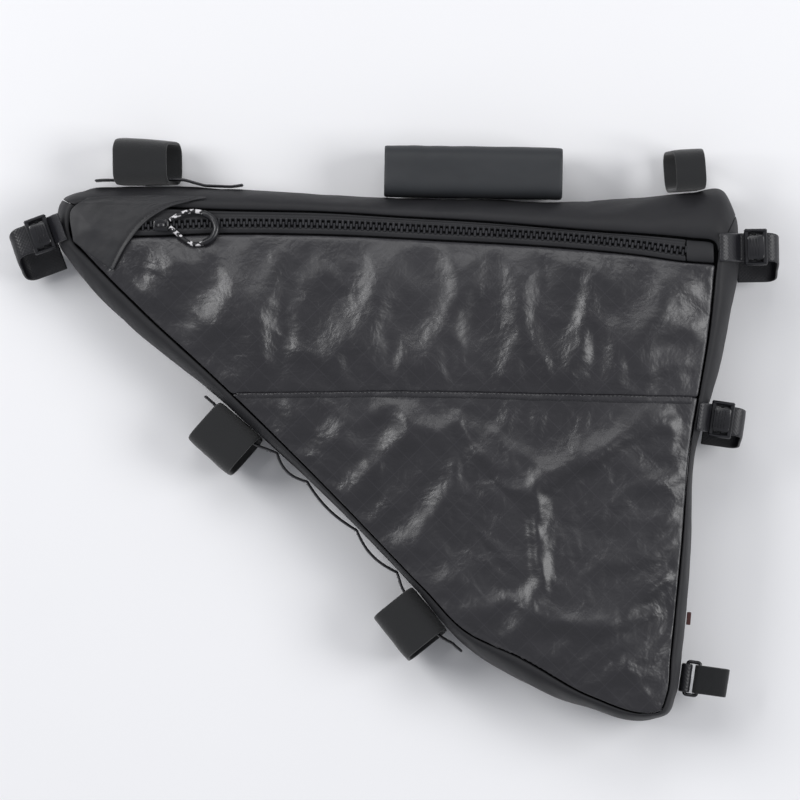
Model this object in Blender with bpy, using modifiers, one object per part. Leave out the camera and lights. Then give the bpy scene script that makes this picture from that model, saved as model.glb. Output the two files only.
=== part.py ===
"""A bicycle frame bag, lying on its back panel with its front panel up.

Metres. +X runs along the top tube from the head end to the seat end, +Y towards the top tube, +Z out of the front.
"""

from math import atan2, cos, pi, radians, sin

import bpy
import numpy as np
from mathutils import Matrix

# Body of the bag
BODY_LENGTH = 0.478
BODY_HEIGHT = 0.371
HEAD_DEPTH = 0.050
SEAT_DEPTH = 0.070
FRONT_BULGE = 0.010
BULGE_RUN = 0.045
CLOTH = 0.0015
GAP = 0.0003

# Zip along the top of the front
CHAIN_WIDTH = 0.0072
CHAIN_THICKNESS = 0.0024
LIP_DROP = 0.0074
SLIDER_LENGTH = 0.0105
SLIDER_WIDTH = 0.0090
SLIDER_THICKNESS = 0.0030
CORD_RADIUS = 0.0015
GRIP_RADIUS = 0.0024

# Straps round the frame tubes
WIDE_STRAP = 0.038
NARROW_STRAP = 0.021
FLAP_WIDTH = 0.125
STRAP_THICKNESS = 0.0022
WEBBING_WIDTH = 0.020
WEBBING = 0.0016
STRIP_WIDTH = 0.022
LOOP_RADIUS = 0.008
TOP_STRAP_REACH = 0.032
FLAP_REACH = 0.036
REAR_STRAP_REACH = 0.029
DOWN_STRAP_REACH = 0.035
TOP_STRIP_LIFT = 0.0020
SCALLOP_LIFT = 0.0050
STRIP_CLEARANCE = 0.0008

# Buckles and the straps in them
HEAD_STRAP_REACH = 0.032
SEAT_STRAP_REACH = 0.027
BUCKLE_LENGTH = 0.016
BUCKLE_WALL = 0.0025
BUCKLE_START = 0.0030
TAB_CLEARANCE = 0.0004
LEVER_LENGTH = 0.012
LEVER_THICKNESS = 0.0022
TURN_RADIUS = 0.007
HEAD_BACK_CLEARANCE = 0.0022

# Strap at the bottom corner
BOTTOM_REACH = 0.034
RING_LENGTH = 0.012
RING_BAR = 0.0026
TAG_WIDTH = 0.0090
TAG_REACH = 0.0030

# Shares of the local depth at which the gusset is widest and the loops start and end
WIDEST = 0.45
BACK_REACH = 0.80
ROUNDNESS = 2.2
LOOP_LOW = 0.14
LOOP_HIGH = 0.80
BUCKLE_LEVEL = 0.80
BOTTOM_LEVEL = 0.42

# One row for each section round the bag, clockwise from the head end. Columns: the front seam's x and y and the
# widest line's x and y, as shares of BODY_LENGTH and BODY_HEIGHT from the lower left corner.
OUTLINE = {
    "head_top": (0.028, 0.969, 0.007, 0.982),
    "top_1": (0.050, 0.971, 0.040, 1.000),
    "top_1b": (0.110, 0.969, 0.095, 1.006),
    "top_2": (0.224, 0.962, 0.217, 1.005),
    "top_3": (0.407, 0.956, 0.407, 0.990),
    "top_4": (0.503, 0.948, 0.503, 0.985),
    "top_5": (0.620, 0.939, 0.620, 0.982),
    "top_6": (0.796, 0.920, 0.784, 0.979),
    "top_7": (0.862, 0.914, 0.854, 0.986),
    "top_8": (0.925, 0.906, 0.930, 0.996),
    "rear_top": (0.960, 0.899, 0.976, 0.998),
    "seat_1": (0.965, 0.878, 0.995, 0.952),
    "seat_2": (0.962, 0.839, 0.999, 0.890),
    "seat_3": (0.951, 0.707, 0.978, 0.705),
    "seat_4": (0.936, 0.593, 0.955, 0.593),
    "seat_5": (0.927, 0.522, 0.938, 0.522),
    "seat_6": (0.914, 0.329, 0.929, 0.329),
    "seat_7": (0.898, 0.122, 0.916, 0.122),
    "seat_8": (0.892, 0.048, 0.906, 0.044),
    "low_corner": (0.882, 0.018, 0.895, 0.010),
    "low_1": (0.866, 0.013, 0.872, 0.000),
    "low_2": (0.781, 0.044, 0.774, 0.022),
    "low_3": (0.678, 0.118, 0.658, 0.087),
    "low_4": (0.595, 0.169, 0.585, 0.154),
    "down_1": (0.539, 0.243, 0.532, 0.234),
    "down_2": (0.377, 0.459, 0.369, 0.450),
    "down_3": (0.236, 0.637, 0.223, 0.620),
    "down_4": (0.125, 0.769, 0.104, 0.745),
    "down_5": (0.042, 0.877, 0.021, 0.858),
    "head_low": (0.023, 0.905, 0.001, 0.895),
    "head_mid": (0.019, 0.939, -0.003, 0.941),
}

# Centre of the zip's teeth and the felled seam across the front. Columns: x and y, in the same shares.
ZIP_LINE = [
    (0.030, 0.934),
    (0.104, 0.931),
    (0.251, 0.936),
    (0.378, 0.934),
    (0.561, 0.923),
    (0.747, 0.908),
    (0.854, 0.894),
    (0.919, 0.882),
    (0.990, 0.876),
]
ZIP_END = 0.919
CROSS_LINE = [
    (0.150, 0.614),
    (0.252, 0.614),
    (0.503, 0.619),
    (0.737, 0.615),
    (0.990, 0.606),
]

# Outline of the head corner patch: left, top, free edge and foot. Columns: x and y, in the same shares.
PATCH_LEFT = [(0.024, 0.902), (0.022, 0.962), (0.046, 0.985)]
PATCH_TOP = [(0.046, 0.985), (0.130, 0.990), (0.222, 0.986)]
PATCH_FREE = [(0.082, 0.846), (0.103, 0.895), (0.131, 0.939), (0.159, 0.963), (0.222, 0.986)]
PATCH_FOOT = [(0.024, 0.902), (0.047, 0.878), (0.082, 0.846)]

# Loop of cord on the slider. Columns: x and y, in the same shares.
SLIDER_AT = 0.153
CORD_OUT = [(0.1660, 0.941), (0.180, 0.952), (0.196, 0.958), (0.212, 0.957)]
GRIP_ROUTE = [(0.212, 0.957), (0.229, 0.943), (0.234, 0.926), (0.228, 0.908), (0.214, 0.897)]
CORD_BACK = [(0.214, 0.897), (0.200, 0.896), (0.187, 0.905), (0.177, 0.916), (0.1665, 0.9280)]

# Webbing strip down the lower side. Columns: share of its length where a span starts, whether a strap lies under
# the strip there, and the span's rise as a share of SCALLOP_LIFT.
SCALLOPS = [
    (0.00, 1, 0.0),
    (0.04, 1, 0.9),
    (0.23, 1, 0.0),
    (0.27, 0, 1.0),
    (0.385, 0, 0.8),
    (0.58, 0, 1.0),
    (0.735, 0, 0.0),
    (0.765, 1, 0.9),
    (0.96, 1, 0.0),
    (1.00, 1, 0.0),
]

ROWS = {name: number for number, name in enumerate(OUTLINE)}
BODY = np.array([BODY_LENGTH, BODY_HEIGHT])

bpy.context.scene.unit_settings.system = "METRIC"
for old in list(bpy.data.objects):
    bpy.data.objects.remove(old, do_unlink=True)
bag = bpy.data.collections.new("bicycle_frame_bag")
bpy.context.scene.collection.children.link(bag)
cutters = bpy.data.collections.new("cutters")
bpy.context.scene.collection.children.link(cutters)
base = bpy.data.objects.new("base", None)
bag.objects.link(base)


# Materials

def material(name, colour, roughness, metallic=0.0):
    made = bpy.data.materials.new(name)
    made.use_nodes = True
    shader = made.node_tree.nodes["Principled BSDF"]
    shader.inputs["Base Color"].default_value = (*colour, 1.0)
    shader.inputs["Roughness"].default_value = roughness
    shader.inputs["Metallic"].default_value = metallic
    return made


COATED = material("coated_fabric", (0.018, 0.018, 0.021), 0.42)
MATTE = material("gusset_fabric", (0.010, 0.010, 0.012), 0.85)
PATCH = material("patch_fabric", (0.014, 0.014, 0.016), 0.60)
TAPE = material("zip_tape", (0.010, 0.010, 0.012), 0.80)
TEETH = material("zip_teeth", (0.016, 0.016, 0.018), 0.45)
HOOK_LOOP = material("hook_and_loop", (0.007, 0.007, 0.008), 0.95)
FLAP = material("smooth_flap", (0.027, 0.029, 0.032), 0.55)
WEBBING_BLACK = material("webbing", (0.010, 0.010, 0.012), 0.40)
PLASTIC = material("buckle_plastic", (0.012, 0.012, 0.013), 0.38)
CORD = material("pull_cord", (0.020, 0.020, 0.022), 0.75)


# The outline and the surface of the lying bag

def through(points, places):
    """Smooth curve through points, read at places counted in points: a Hermite cubic with chord-length tangents."""
    points = np.asarray(points, float)
    steps = np.linalg.norm(np.diff(points, axis=0), axis=1)
    slopes = np.diff(points, axis=0) / steps[:, None]
    tangents = np.empty_like(points)
    before, after = steps[:-1, None], steps[1:, None]
    tangents[1:-1] = (slopes[:-1] * after + slopes[1:] * before) / (before + after)
    tangents[0], tangents[-1] = slopes[0], slopes[-1]
    places = np.clip(np.asarray(places, float), 0, len(points) - 1)
    row = np.minimum(places.astype(int), len(points) - 2)
    f = (places - row)[:, None]
    span = steps[row][:, None]
    return (
        points[row] * (2 * f**3 - 3 * f**2 + 1)
        + tangents[row] * span * (f**3 - 2 * f**2 + f)
        + points[row + 1] * (3 * f**2 - 2 * f**3)
        + tangents[row + 1] * span * (f**3 - f**2)
    )


def line(table, count):
    """A table of shares as count points in metres."""
    return through(np.array(table) * BODY, np.linspace(0, len(table) - 1, count))


def perimeter(places):
    """Seam and widest points at places counted in rows of OUTLINE, round and round."""
    table = np.array(list(OUTLINE.values())) * np.tile(BODY, 2)
    count = len(table)
    wrapped = np.concatenate([table[-3:], table, table[:4]])
    return through(wrapped, np.mod(places, count) + 3)


def depth(x):
    """Depth of the bag at x."""
    return HEAD_DEPTH + (SEAT_DEPTH - HEAD_DEPTH) * np.clip(x / BODY_LENGTH, 0, 1)


ROUND = np.arange(0, len(OUTLINE), 1 / 14)
SEAM = perimeter(ROUND)[:, :2]
EDGE = perimeter(ROUND)[:, 2:]


def front_height(points):
    """Outer height over the floor: a pillow inside the seam, a quarter superellipse on the gusset outside it."""
    points = np.asarray(points, float)
    flat = points.reshape(-1, 2)
    reach = EDGE - SEAM
    length = np.maximum((reach**2).sum(axis=1), 1e-12)
    offset = flat[:, None, :] - SEAM[None]
    ratio = np.clip((offset * reach).sum(axis=2) / length, 0, 1)
    away = np.linalg.norm(offset - ratio[..., None] * reach, axis=2)
    nearest = away.argmin(axis=1)
    rows = np.arange(len(flat))
    ratio, away = ratio[rows, nearest], away[rows, nearest]
    top = depth(flat[:, 0])
    pillow = top + FRONT_BULGE * (1 - np.exp(-away / BULGE_RUN))
    roll = top * (WIDEST + (1 - WIDEST) * (1 - ratio**ROUNDNESS) ** (1 / ROUNDNESS))
    return np.where(ratio > 1e-3, roll, pillow).reshape(points.shape[:-1])


def inset(points, distance):
    """Points of a clockwise curve moved to its inner side."""
    along = np.gradient(points, axis=0)
    along /= np.linalg.norm(along, axis=1)[:, None]
    return points + distance * np.stack([along[:, 1], -along[:, 0]], axis=1)


def seam_run(start, stop, count):
    """Edge of a front piece beside the seam, between two places, clear of the gusset."""
    places = np.linspace(start, stop, 600)
    points = perimeter(places)[:, :2]
    points = inset(points, (CLOTH + GAP) * np.sign(stop - start))
    picked = np.linspace(0, len(points) - 1, count)
    return np.stack([np.interp(picked, np.arange(len(points)), points[:, k]) for k in range(2)], axis=1)


def place_where(first, last, column, value):
    """Place between two rows where a column of the perimeter passes a value in metres."""
    places = np.linspace(ROWS[first], ROWS[last], 2000)
    return places[np.abs(perimeter(places)[:, column] - value).argmin()]


def places_at(first, last, x):
    """Places between two rows where the widest line has the given x."""
    places = np.linspace(ROWS[first], ROWS[last], 800)
    edge = perimeter(places)[:, 2]
    order = np.argsort(edge)
    return np.interp(x, edge[order], places[order])


def edge_frame(place):
    """Point on the widest line and the angle of its outward normal."""
    before, point, after = perimeter([place - 0.05, place, place + 0.05])[:, 2:]
    along = after - before
    return point, np.arctan2(along[0], -along[1])


# Making objects

def add_mesh(name, vertices, faces, finish, smooth=True):
    mesh = bpy.data.meshes.new(name)
    mesh.from_pydata([tuple(map(float, v)) for v in vertices], [], faces)
    mesh.update()
    made = bpy.data.objects.new(name, mesh)
    bag.objects.link(made)
    made.parent = base
    mesh.materials.append(finish)
    if smooth:
        mesh.shade_smooth()
    return made


def sheet(name, grid, thickness, finish, closed=False, offset=-1.0):
    """Cloth of a thickness from a grid of points in rows and columns; closed joins the last row to the first."""
    rows, columns = grid.shape[:2]
    faces = []
    for i in range(rows if closed else rows - 1):
        for j in range(columns - 1):
            a, b = i * columns + j, ((i + 1) % rows) * columns + j
            faces.append((a, a + 1, b + 1, b))
    made = add_mesh(name, grid.reshape(-1, 3), faces, finish)
    wall = made.modifiers.new("wall", "SOLIDIFY")
    wall.thickness = thickness
    wall.offset = offset
    return made


def lift(flat, clearance):
    """Plan points set at a clearance over the bag's front."""
    return np.concatenate([flat, (front_height(flat) + clearance)[..., None]], axis=-1)


def patchwork(bottom, top, left, right):
    """Coons patch: a grid of plan points between four sides that meet at the corners."""
    u = np.linspace(0, 1, len(bottom))[None, :, None]
    v = np.linspace(0, 1, len(left))[:, None, None]
    ruled = (1 - v) * bottom[None] + v * top[None] + (1 - u) * left[:, None] + u * right[:, None]
    corners = (1 - u) * (1 - v) * bottom[0] + u * (1 - v) * bottom[-1] + (1 - u) * v * top[0] + u * v * top[-1]
    return ruled - corners


def upwards(grid):
    """The grid turned over where its first cell faces down, so that its thickness goes below it."""
    a = grid[0, 1, :2] - grid[0, 0, :2]
    b = grid[1, 0, :2] - grid[0, 0, :2]
    return grid if a[0] * b[1] - a[1] * b[0] > 0 else grid[::-1]


# Gusset, back and front panels

def gusset(name, start, stop):
    """A run of the gusset: each section goes from the front seam over the widest line to the back."""
    count = int(round((stop - start) * 3)) + 1
    places = np.linspace(start, stop, count)
    points = perimeter(places)
    along = np.gradient(points[:, :2], axis=0)
    along /= np.linalg.norm(along, axis=1)[:, None]
    points[0] += np.tile(along[0], 2) * GAP * 2
    points[-1] -= np.tile(along[-1], 2) * GAP * 2
    seam, reach = points[:, None, :2], points[:, None, 2:] - points[:, None, :2]
    turn = np.linspace(0, pi / 2, 5)
    front_out = np.sin(turn) ** (2 / ROUNDNESS)
    front_up = WIDEST + (1 - WIDEST) * np.cos(turn) ** (2 / ROUNDNESS)
    fall = np.linspace(0, 1, 4)[1:]
    back_out = BACK_REACH + (1 - BACK_REACH) * np.sqrt(1 - fall**2)
    out = np.concatenate([front_out, back_out])
    up = np.concatenate([front_up, WIDEST * (1 - fall)])
    flat = seam + reach * out[None, :, None]
    height = depth(points[:, 0])[:, None] * up[None]
    grid = np.concatenate([flat, height[..., None]], axis=2)
    return sheet(name, grid, CLOTH, MATTE, offset=1.0)


def back_panel():
    """Flat back inside the gusset's back edge."""
    points = perimeter(np.arange(0, len(OUTLINE), 1 / 3))
    edge = points[:, :2] + (points[:, 2:] - points[:, :2]) * BACK_REACH
    edge = inset(edge, CLOTH + GAP + GAP)
    curve = bpy.data.curves.new("back_panel", "CURVE")
    curve.dimensions = "2D"
    curve.fill_mode = "BOTH"
    curve.extrude = CLOTH / 2
    spline = curve.splines.new("POLY")
    spline.points.add(len(edge) - 1)
    spline.points.foreach_set("co", np.column_stack([edge, edge * 0, edge[:, 0] ** 0])[:, [0, 1, 2, 4]].ravel())
    spline.use_cyclic_u = True
    made = bpy.data.objects.new("back_panel", curve)
    made.location.z = CLOTH / 2
    bag.objects.link(made)
    made.parent = base
    curve.materials.append(COATED)


def zip_y(x):
    """Height in the plan of the teeth's centre at x."""
    points = line(ZIP_LINE, 300)
    return np.interp(x, points[:, 0], points[:, 1])


def top_seam_y(x):
    """Height in the plan of the front pieces' upper edge at x."""
    points = seam_run(ROWS["head_top"], ROWS["seat_1"], 300)
    order = np.argsort(points[:, 0])
    return np.interp(x, points[order, 0], points[order, 1])


def cross_run(shift, count):
    """The felled seam across the front, from the lower side to the seat side, moved up by shift."""
    points = line(CROSS_LINE, 400) + (0, shift)
    left = place_where("down_2", "down_4", 1, points[0, 1])
    right = place_where("seat_3", "seat_6", 1, points[-1, 1])
    x = np.linspace(seam_run(left, left - 0.01, 2)[0, 0], seam_run(right - 0.01, right, 2)[1, 0], count)
    return np.stack([x, np.interp(x, points[:, 0], points[:, 1])], axis=1), left, right


def front_panels():
    """Two coated panels that meet at the felled seam."""
    columns, rows = 29, 9
    bottom, left, right = cross_run(GAP, columns)
    lip_left = place_where("down_4", "head_low", 1, zip_y(0.03 * BODY_LENGTH) - LIP_DROP)
    lip_right = place_where("seat_1", "seat_3", 1, zip_y(BODY_LENGTH) - LIP_DROP)
    left_side = seam_run(left, lip_left, rows)
    right_side = seam_run(lip_right, right, rows)[::-1]
    left_side[0], right_side[0] = bottom[0], bottom[-1]
    x = np.linspace(left_side[-1, 0], right_side[-1, 0], columns)
    top = np.stack([x, zip_y(x) - LIP_DROP - GAP], axis=1)
    left_side[-1], right_side[-1] = top[0], top[-1]
    sheet("panel_upper", upwards(lift(patchwork(bottom, top, left_side, right_side), 0)), CLOTH, COATED)
    columns, rows = 23, 15
    top, left, right = cross_run(-GAP, columns)
    corner = ROWS["low_corner"] - 0.2
    heel = ROWS["low_3"] + 0.4
    right_side = seam_run(right, corner, rows)[::-1]
    bottom = seam_run(corner, heel, columns)[::-1]
    left_side = seam_run(heel, left, rows)
    left_side[-1], right_side[-1] = top[0], top[-1]
    right_side[0], left_side[0] = bottom[-1], bottom[0]
    sheet("panel_lower", upwards(lift(patchwork(bottom, top, left_side, right_side), 0)), CLOTH, COATED)


# Zip with its slider and pull

def ruled(name, x, low, high, clearance, thickness, finish, rows=2):
    """A strip of the front between two lines given at the same x."""
    v = np.linspace(0, 1, rows)[:, None]
    y = low[None] * (1 - v) + high[None] * v
    grid = np.stack([np.tile(x, (rows, 1)), y], axis=2)
    return sheet(name, upwards(lift(grid, clearance)), thickness, finish)


def zip_fastener():
    """Tapes on both sides of the chain of teeth, and the cloth that covers the end of the zip."""
    x = np.linspace(0.040, ZIP_END, 37) * BODY_LENGTH
    half = CHAIN_WIDTH / 2
    ruled("zip_tape_upper", x, zip_y(x) + half + GAP, top_seam_y(x), 0, CLOTH, TAPE, 3)
    ruled("zip_tape_lower", x, zip_y(x) - LIP_DROP + GAP, zip_y(x) - half - GAP, 0, CLOTH, TAPE)
    ruled("zip_teeth", x, zip_y(x) - half, zip_y(x) + half, CHAIN_THICKNESS - CLOTH, CHAIN_THICKNESS, TEETH, 3)
    right = seam_run(ROWS["seat_1"], ROWS["seat_2"], 20)
    x = np.linspace(ZIP_END * BODY_LENGTH + GAP, right[:, 0].min() - GAP, 4)
    ruled("zip_end_cover", x, zip_y(x) - LIP_DROP + GAP, top_seam_y(x), 0, CLOTH, COATED, 4)


def box(name, size, centre, angle, finish, bevel=0.0):
    """A block turned about the vertical, with its scale applied before its edges are rounded."""
    bpy.ops.mesh.primitive_cube_add(size=1, location=(0, 0, 0))
    made = bpy.context.object
    made.name = name
    made.data.name = name
    made.data.transform(Matrix.Diagonal((*size, 1.0)))
    made.location = centre
    made.rotation_euler.z = angle
    for other in list(made.users_collection):
        other.objects.unlink(made)
    bag.objects.link(made)
    made.parent = base
    made.data.materials.append(finish)
    if bevel:
        edges = made.modifiers.new("edges", "BEVEL")
        edges.width = bevel
        edges.segments = 1
    return made


def boolean(target, name, operation, size, centre, angle):
    """Cuts a block out of the target, or joins one to it."""
    tool = box(name, size, centre, angle, target.data.materials[0])
    bag.objects.unlink(tool)
    cutters.objects.link(tool)
    tool.hide_render = True
    tool.display_type = "WIRE"
    joined = target.modifiers.new(name, "BOOLEAN")
    joined.operation = operation
    joined.object = tool


def tube(name, points, radius, finish):
    """Round bar along points, with flat ends."""
    curve = bpy.data.curves.new(name, "CURVE")
    curve.dimensions = "3D"
    curve.bevel_depth = radius
    curve.bevel_resolution = 2
    curve.use_fill_caps = True
    spline = curve.splines.new("POLY")
    spline.points.add(len(points) - 1)
    spline.points.foreach_set("co", np.column_stack([points, np.ones(len(points))]).ravel())
    made = bpy.data.objects.new(name, curve)
    bag.objects.link(made)
    made.parent = base
    curve.materials.append(finish)
    return made


def slider_and_pull():
    """Slider on the closed teeth, with a loop of cord that ends in a plastic grip."""
    x = SLIDER_AT * BODY_LENGTH
    y = float(zip_y(x))
    ahead = float(zip_y(x + SLIDER_LENGTH))
    angle = atan2(ahead - y, SLIDER_LENGTH)
    ground = float(front_height([x, y])) + CHAIN_THICKNESS - CLOTH + GAP * 3
    centre = (x, y, ground + SLIDER_THICKNESS / 2)
    slider = box("zip_slider", (SLIDER_LENGTH, SLIDER_WIDTH, SLIDER_THICKNESS), centre, angle, PLASTIC, 0.0006)
    bridge = (SLIDER_LENGTH * 0.6, SLIDER_WIDTH * 0.35, SLIDER_THICKNESS)
    boolean(slider, "slider_bridge", "UNION", bridge, (x, y, centre[2] + SLIDER_THICKNESS * 0.8), angle)
    runs = {
        "pull_cord_upper": (CORD_OUT, CORD_RADIUS, CORD, 18),
        "pull_grip": (GRIP_ROUTE, GRIP_RADIUS, PLASTIC, 14),
        "pull_cord_lower": (CORD_BACK, CORD_RADIUS, CORD, 18),
    }
    seat = CHAIN_THICKNESS - CLOTH + GAP + GRIP_RADIUS
    for name, (route, radius, finish, count) in runs.items():
        flat = line(route, count)
        flat = flat[1:-1] if radius == GRIP_RADIUS else flat
        tube(name, np.column_stack([flat, front_height(flat) + seat]), radius, finish)


def corner_patch():
    """Smooth reinforcement over the head corner, on the band, the zip's end and the front panel."""
    columns, rows = 17, 9
    grid = patchwork(line(PATCH_FOOT, columns), line(PATCH_TOP, columns), line(PATCH_LEFT, rows), line(PATCH_FREE, rows))
    surface = lift(grid, CHAIN_THICKNESS - CLOTH + GAP + CLOTH)
    sheet("corner_patch", upwards(surface), CLOTH * 0.8, PATCH)


# Straps

def rounded_loop(near, far, low, high, radius):
    """Closed loop of webbing seen from its side, as rows of out and height."""
    radius = min(radius, (high - low) / 2.2, (far - near) / 2.2)
    corners = [(far, low, -90), (far, high, 0), (near, high, 90), (near, low, 180)]
    rows = []
    for x, z, start in corners:
        centre_x = x - radius if x == far else x + radius
        centre_z = z - radius if z == high else z + radius
        for step in range(5):
            turn = radians(start + step * 22.5)
            rows.append((centre_x + radius * cos(turn), centre_z + radius * sin(turn)))
    return np.array(rows)


def hook(front, back, far, low, high, radius):
    """Open strap seen from its side: out along the front, round, and back at the lower level."""
    rows = [(front, high), ((front + far - radius) / 2, high)]
    for level, start in ((high, 90), (low, 0)):
        centre_z = level - radius if level == high else level + radius
        for step in range(5):
            turn = radians(start - step * 22.5)
            rows.append((far - radius + radius * cos(turn), centre_z + radius * sin(turn)))
    rows += [((back + far - radius) / 2, low), (back, low)]
    return np.array(rows)


def strap(name, root, angle, profile, width, thickness, skew, finish, closed):
    """Webbing whose side view is the profile; its lower half is moved along its width by the skew."""
    out = np.array([cos(angle), sin(angle)])
    across = np.array([-sin(angle), cos(angle)])
    high, low = profile[:, 1].max(), profile[:, 1].min()
    shift = skew * (high - profile[:, 1]) / (high - low)
    side = np.array([-0.5, 0.5]) * width
    flat = (
        np.asarray(root)
        + profile[:, None, :1] * out
        + (shift[:, None] + side[None])[..., None] * across
    )
    height = np.repeat(profile[:, 1:2], 2, axis=1)
    grid = np.concatenate([flat, height[..., None]], axis=2)
    return sheet(name, grid, thickness, finish, closed, offset=0.0)


def tube_loop(name, span, share, width, reach, skew, finish, thickness=STRAP_THICKNESS):
    """Closed strap that stands on the gusset, for a tube of the bicycle's frame."""
    first, last, column = span
    place = place_where(first, last, column, share * BODY[column - 2])
    root, angle = edge_frame(place)
    deep = depth(root[0])
    near = GAP * 3 + thickness / 2
    profile = rounded_loop(near, reach, LOOP_LOW * deep, LOOP_HIGH * deep, LOOP_RADIUS)
    strap(name, root, angle, profile, width, thickness, skew, finish, closed=True)


def edge_strip(name, places, lifts, width, finish):
    """Webbing that runs along the gusset's widest line, at lifts over it."""
    points = perimeter(places)[:, 2:]
    along = np.gradient(points, axis=0)
    along /= np.linalg.norm(along, axis=1)[:, None]
    outward = np.stack([-along[:, 1], along[:, 0]], axis=1) * np.sign(places[-1] - places[0])
    flat = points + outward * np.asarray(lifts)[:, None]
    level = depth(points[:, 0]) * (LOOP_LOW + LOOP_HIGH) / 2
    turned = np.sign(places[-1] - places[0])
    grid = np.stack([np.column_stack([flat, level + side * width / 2]) for side in (-1, 1)], axis=1)
    return sheet(name, grid, WEBBING, finish, offset=turned)


def loops():
    """The straps round the top tube and the down tube, and the webbing strips that hold them."""
    top = ("top_1", "top_8", 2)
    down = ("low_4", "down_4", 2)
    tube_loop("top_strap_front", top, 0.121, WIDE_STRAP, TOP_STRAP_REACH, -0.010, HOOK_LOOP)
    tube_loop("top_flap", top, 0.609, FLAP_WIDTH, FLAP_REACH, 0.0, FLAP)
    tube_loop("top_strap_rear", top, 0.937, NARROW_STRAP, REAR_STRAP_REACH, 0.007, HOOK_LOOP)
    tube_loop("down_strap_upper", down, 0.268, WIDE_STRAP, DOWN_STRAP_REACH, 0.004, HOOK_LOOP)
    tube_loop("down_strap_lower", down, 0.545, WIDE_STRAP, DOWN_STRAP_REACH, 0.004, HOOK_LOOP)
    over = GAP * 5 + STRAP_THICKNESS + STRIP_CLEARANCE

    share = np.linspace(0, 1, 21)
    places = places_at("top_1", "top_3", (0.055 + 0.217 * share) * BODY_LENGTH)
    flat = GAP * 2 + (over - GAP * 2) * np.clip((0.74 - share) / 0.14, 0, 1)
    tail = TOP_STRIP_LIFT * np.clip((share - 0.9) / 0.1, 0, 1)
    edge_strip("top_strip", places, flat + tail, STRIP_WIDTH, WEBBING_BLACK)

    share = np.linspace(0, 1, 61)
    places = places_at("low_3", "down_4", (0.222 + 0.378 * share) * BODY_LENGTH)
    start, covers, rise = np.array(SCALLOPS).T
    span = np.clip(np.searchsorted(start, share, side="right") - 1, 0, len(start) - 2)
    local = (share - start[span]) / (start[span + 1] - start[span])
    seat = GAP * 2 + (over - GAP * 2) * np.interp(share, start, covers)
    raised = seat + SCALLOP_LIFT * rise[span] * np.sin(pi * local) ** 0.8
    edge_strip("down_strip", places, raised, STRIP_WIDTH, WEBBING_BLACK)


def buckled_strap(end, root, angle, reach, skew, sewn, back):
    """Tab, cam buckle and strap: tab and strap meet inside the buckle's frame."""
    out = np.array([cos(angle), sin(angle)])
    across = np.array([-sin(angle), cos(angle)])
    deep = depth(root[0])
    level = BUCKLE_LEVEL * deep
    middle = BUCKLE_START + BUCKLE_LENGTH / 2

    start = np.append(np.linspace(-sewn, 0, 7), [BUCKLE_START * 0.6, middle - GAP / 2])
    side = np.linspace(-0.5, 0.5, 5) * WEBBING_WIDTH
    flat = root + start[:, None, None] * out + side[None, :, None] * across
    ground = np.maximum(front_height(flat), front_height(flat - out * WEBBING))
    clear = ground.max(axis=1, keepdims=True) + WEBBING / 2 + TAB_CLEARANCE
    share = np.clip(1 + start / sewn, 0, 1)[:, None]
    slope = clear[0] * (1 - share) + level * share
    height = np.where(start[:, None] < BUCKLE_START / 2, np.maximum(clear, slope), level)
    height = np.repeat(height, len(side), axis=1)
    sheet(end + "_tab", np.concatenate([flat, height[..., None]], axis=2), WEBBING, WEBBING_BLACK, offset=0.0)

    low = (LOOP_LOW + 0.08) * deep
    profile = hook(middle + GAP / 2, back, reach, low, level, TURN_RADIUS)
    strap(end + "_strap", root, angle, profile, WEBBING_WIDTH, WEBBING, skew, WEBBING_BLACK, closed=False)

    tall = WEBBING + 2 * (GAP + BUCKLE_WALL)
    wide = WEBBING_WIDTH + 2 * (GAP + BUCKLE_WALL)
    centre = (*(root + out * middle), level)
    frame = box(end + "_buckle", (BUCKLE_LENGTH, wide, tall), centre, angle, PLASTIC, 0.0008)
    tunnel = (BUCKLE_LENGTH * 2, WEBBING_WIDTH + 2 * GAP, WEBBING + 2 * GAP)
    boolean(frame, end + "_tunnel", "DIFFERENCE", tunnel, centre, angle)
    on_top = (centre[0], centre[1], level + tall / 2 + GAP + LEVER_THICKNESS / 2)
    lever = (LEVER_LENGTH, WEBBING_WIDTH * 0.85, LEVER_THICKNESS)
    box(end + "_lever", lever, on_top, angle, PLASTIC, 0.0006)


def buckled_straps():
    """The strap round the head tube and the two round the seat tube."""
    root, _ = edge_frame(place_where("down_5", "head_mid", 3, 0.925 * BODY_HEIGHT))
    buckled_strap("head", root, radians(200), HEAD_STRAP_REACH, 0.018, 0.006, HEAD_BACK_CLEARANCE)
    root, angle = edge_frame(place_where("seat_1", "seat_3", 3, 0.890 * BODY_HEIGHT))
    buckled_strap("seat_upper", root, angle, SEAT_STRAP_REACH, -0.014, 0.015, -GAP)
    root, _ = edge_frame(place_where("seat_3", "seat_5", 3, 0.570 * BODY_HEIGHT))
    buckled_strap("seat_lower", root, radians(-8), SEAT_STRAP_REACH, -0.009, 0.006, GAP * 2)


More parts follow.
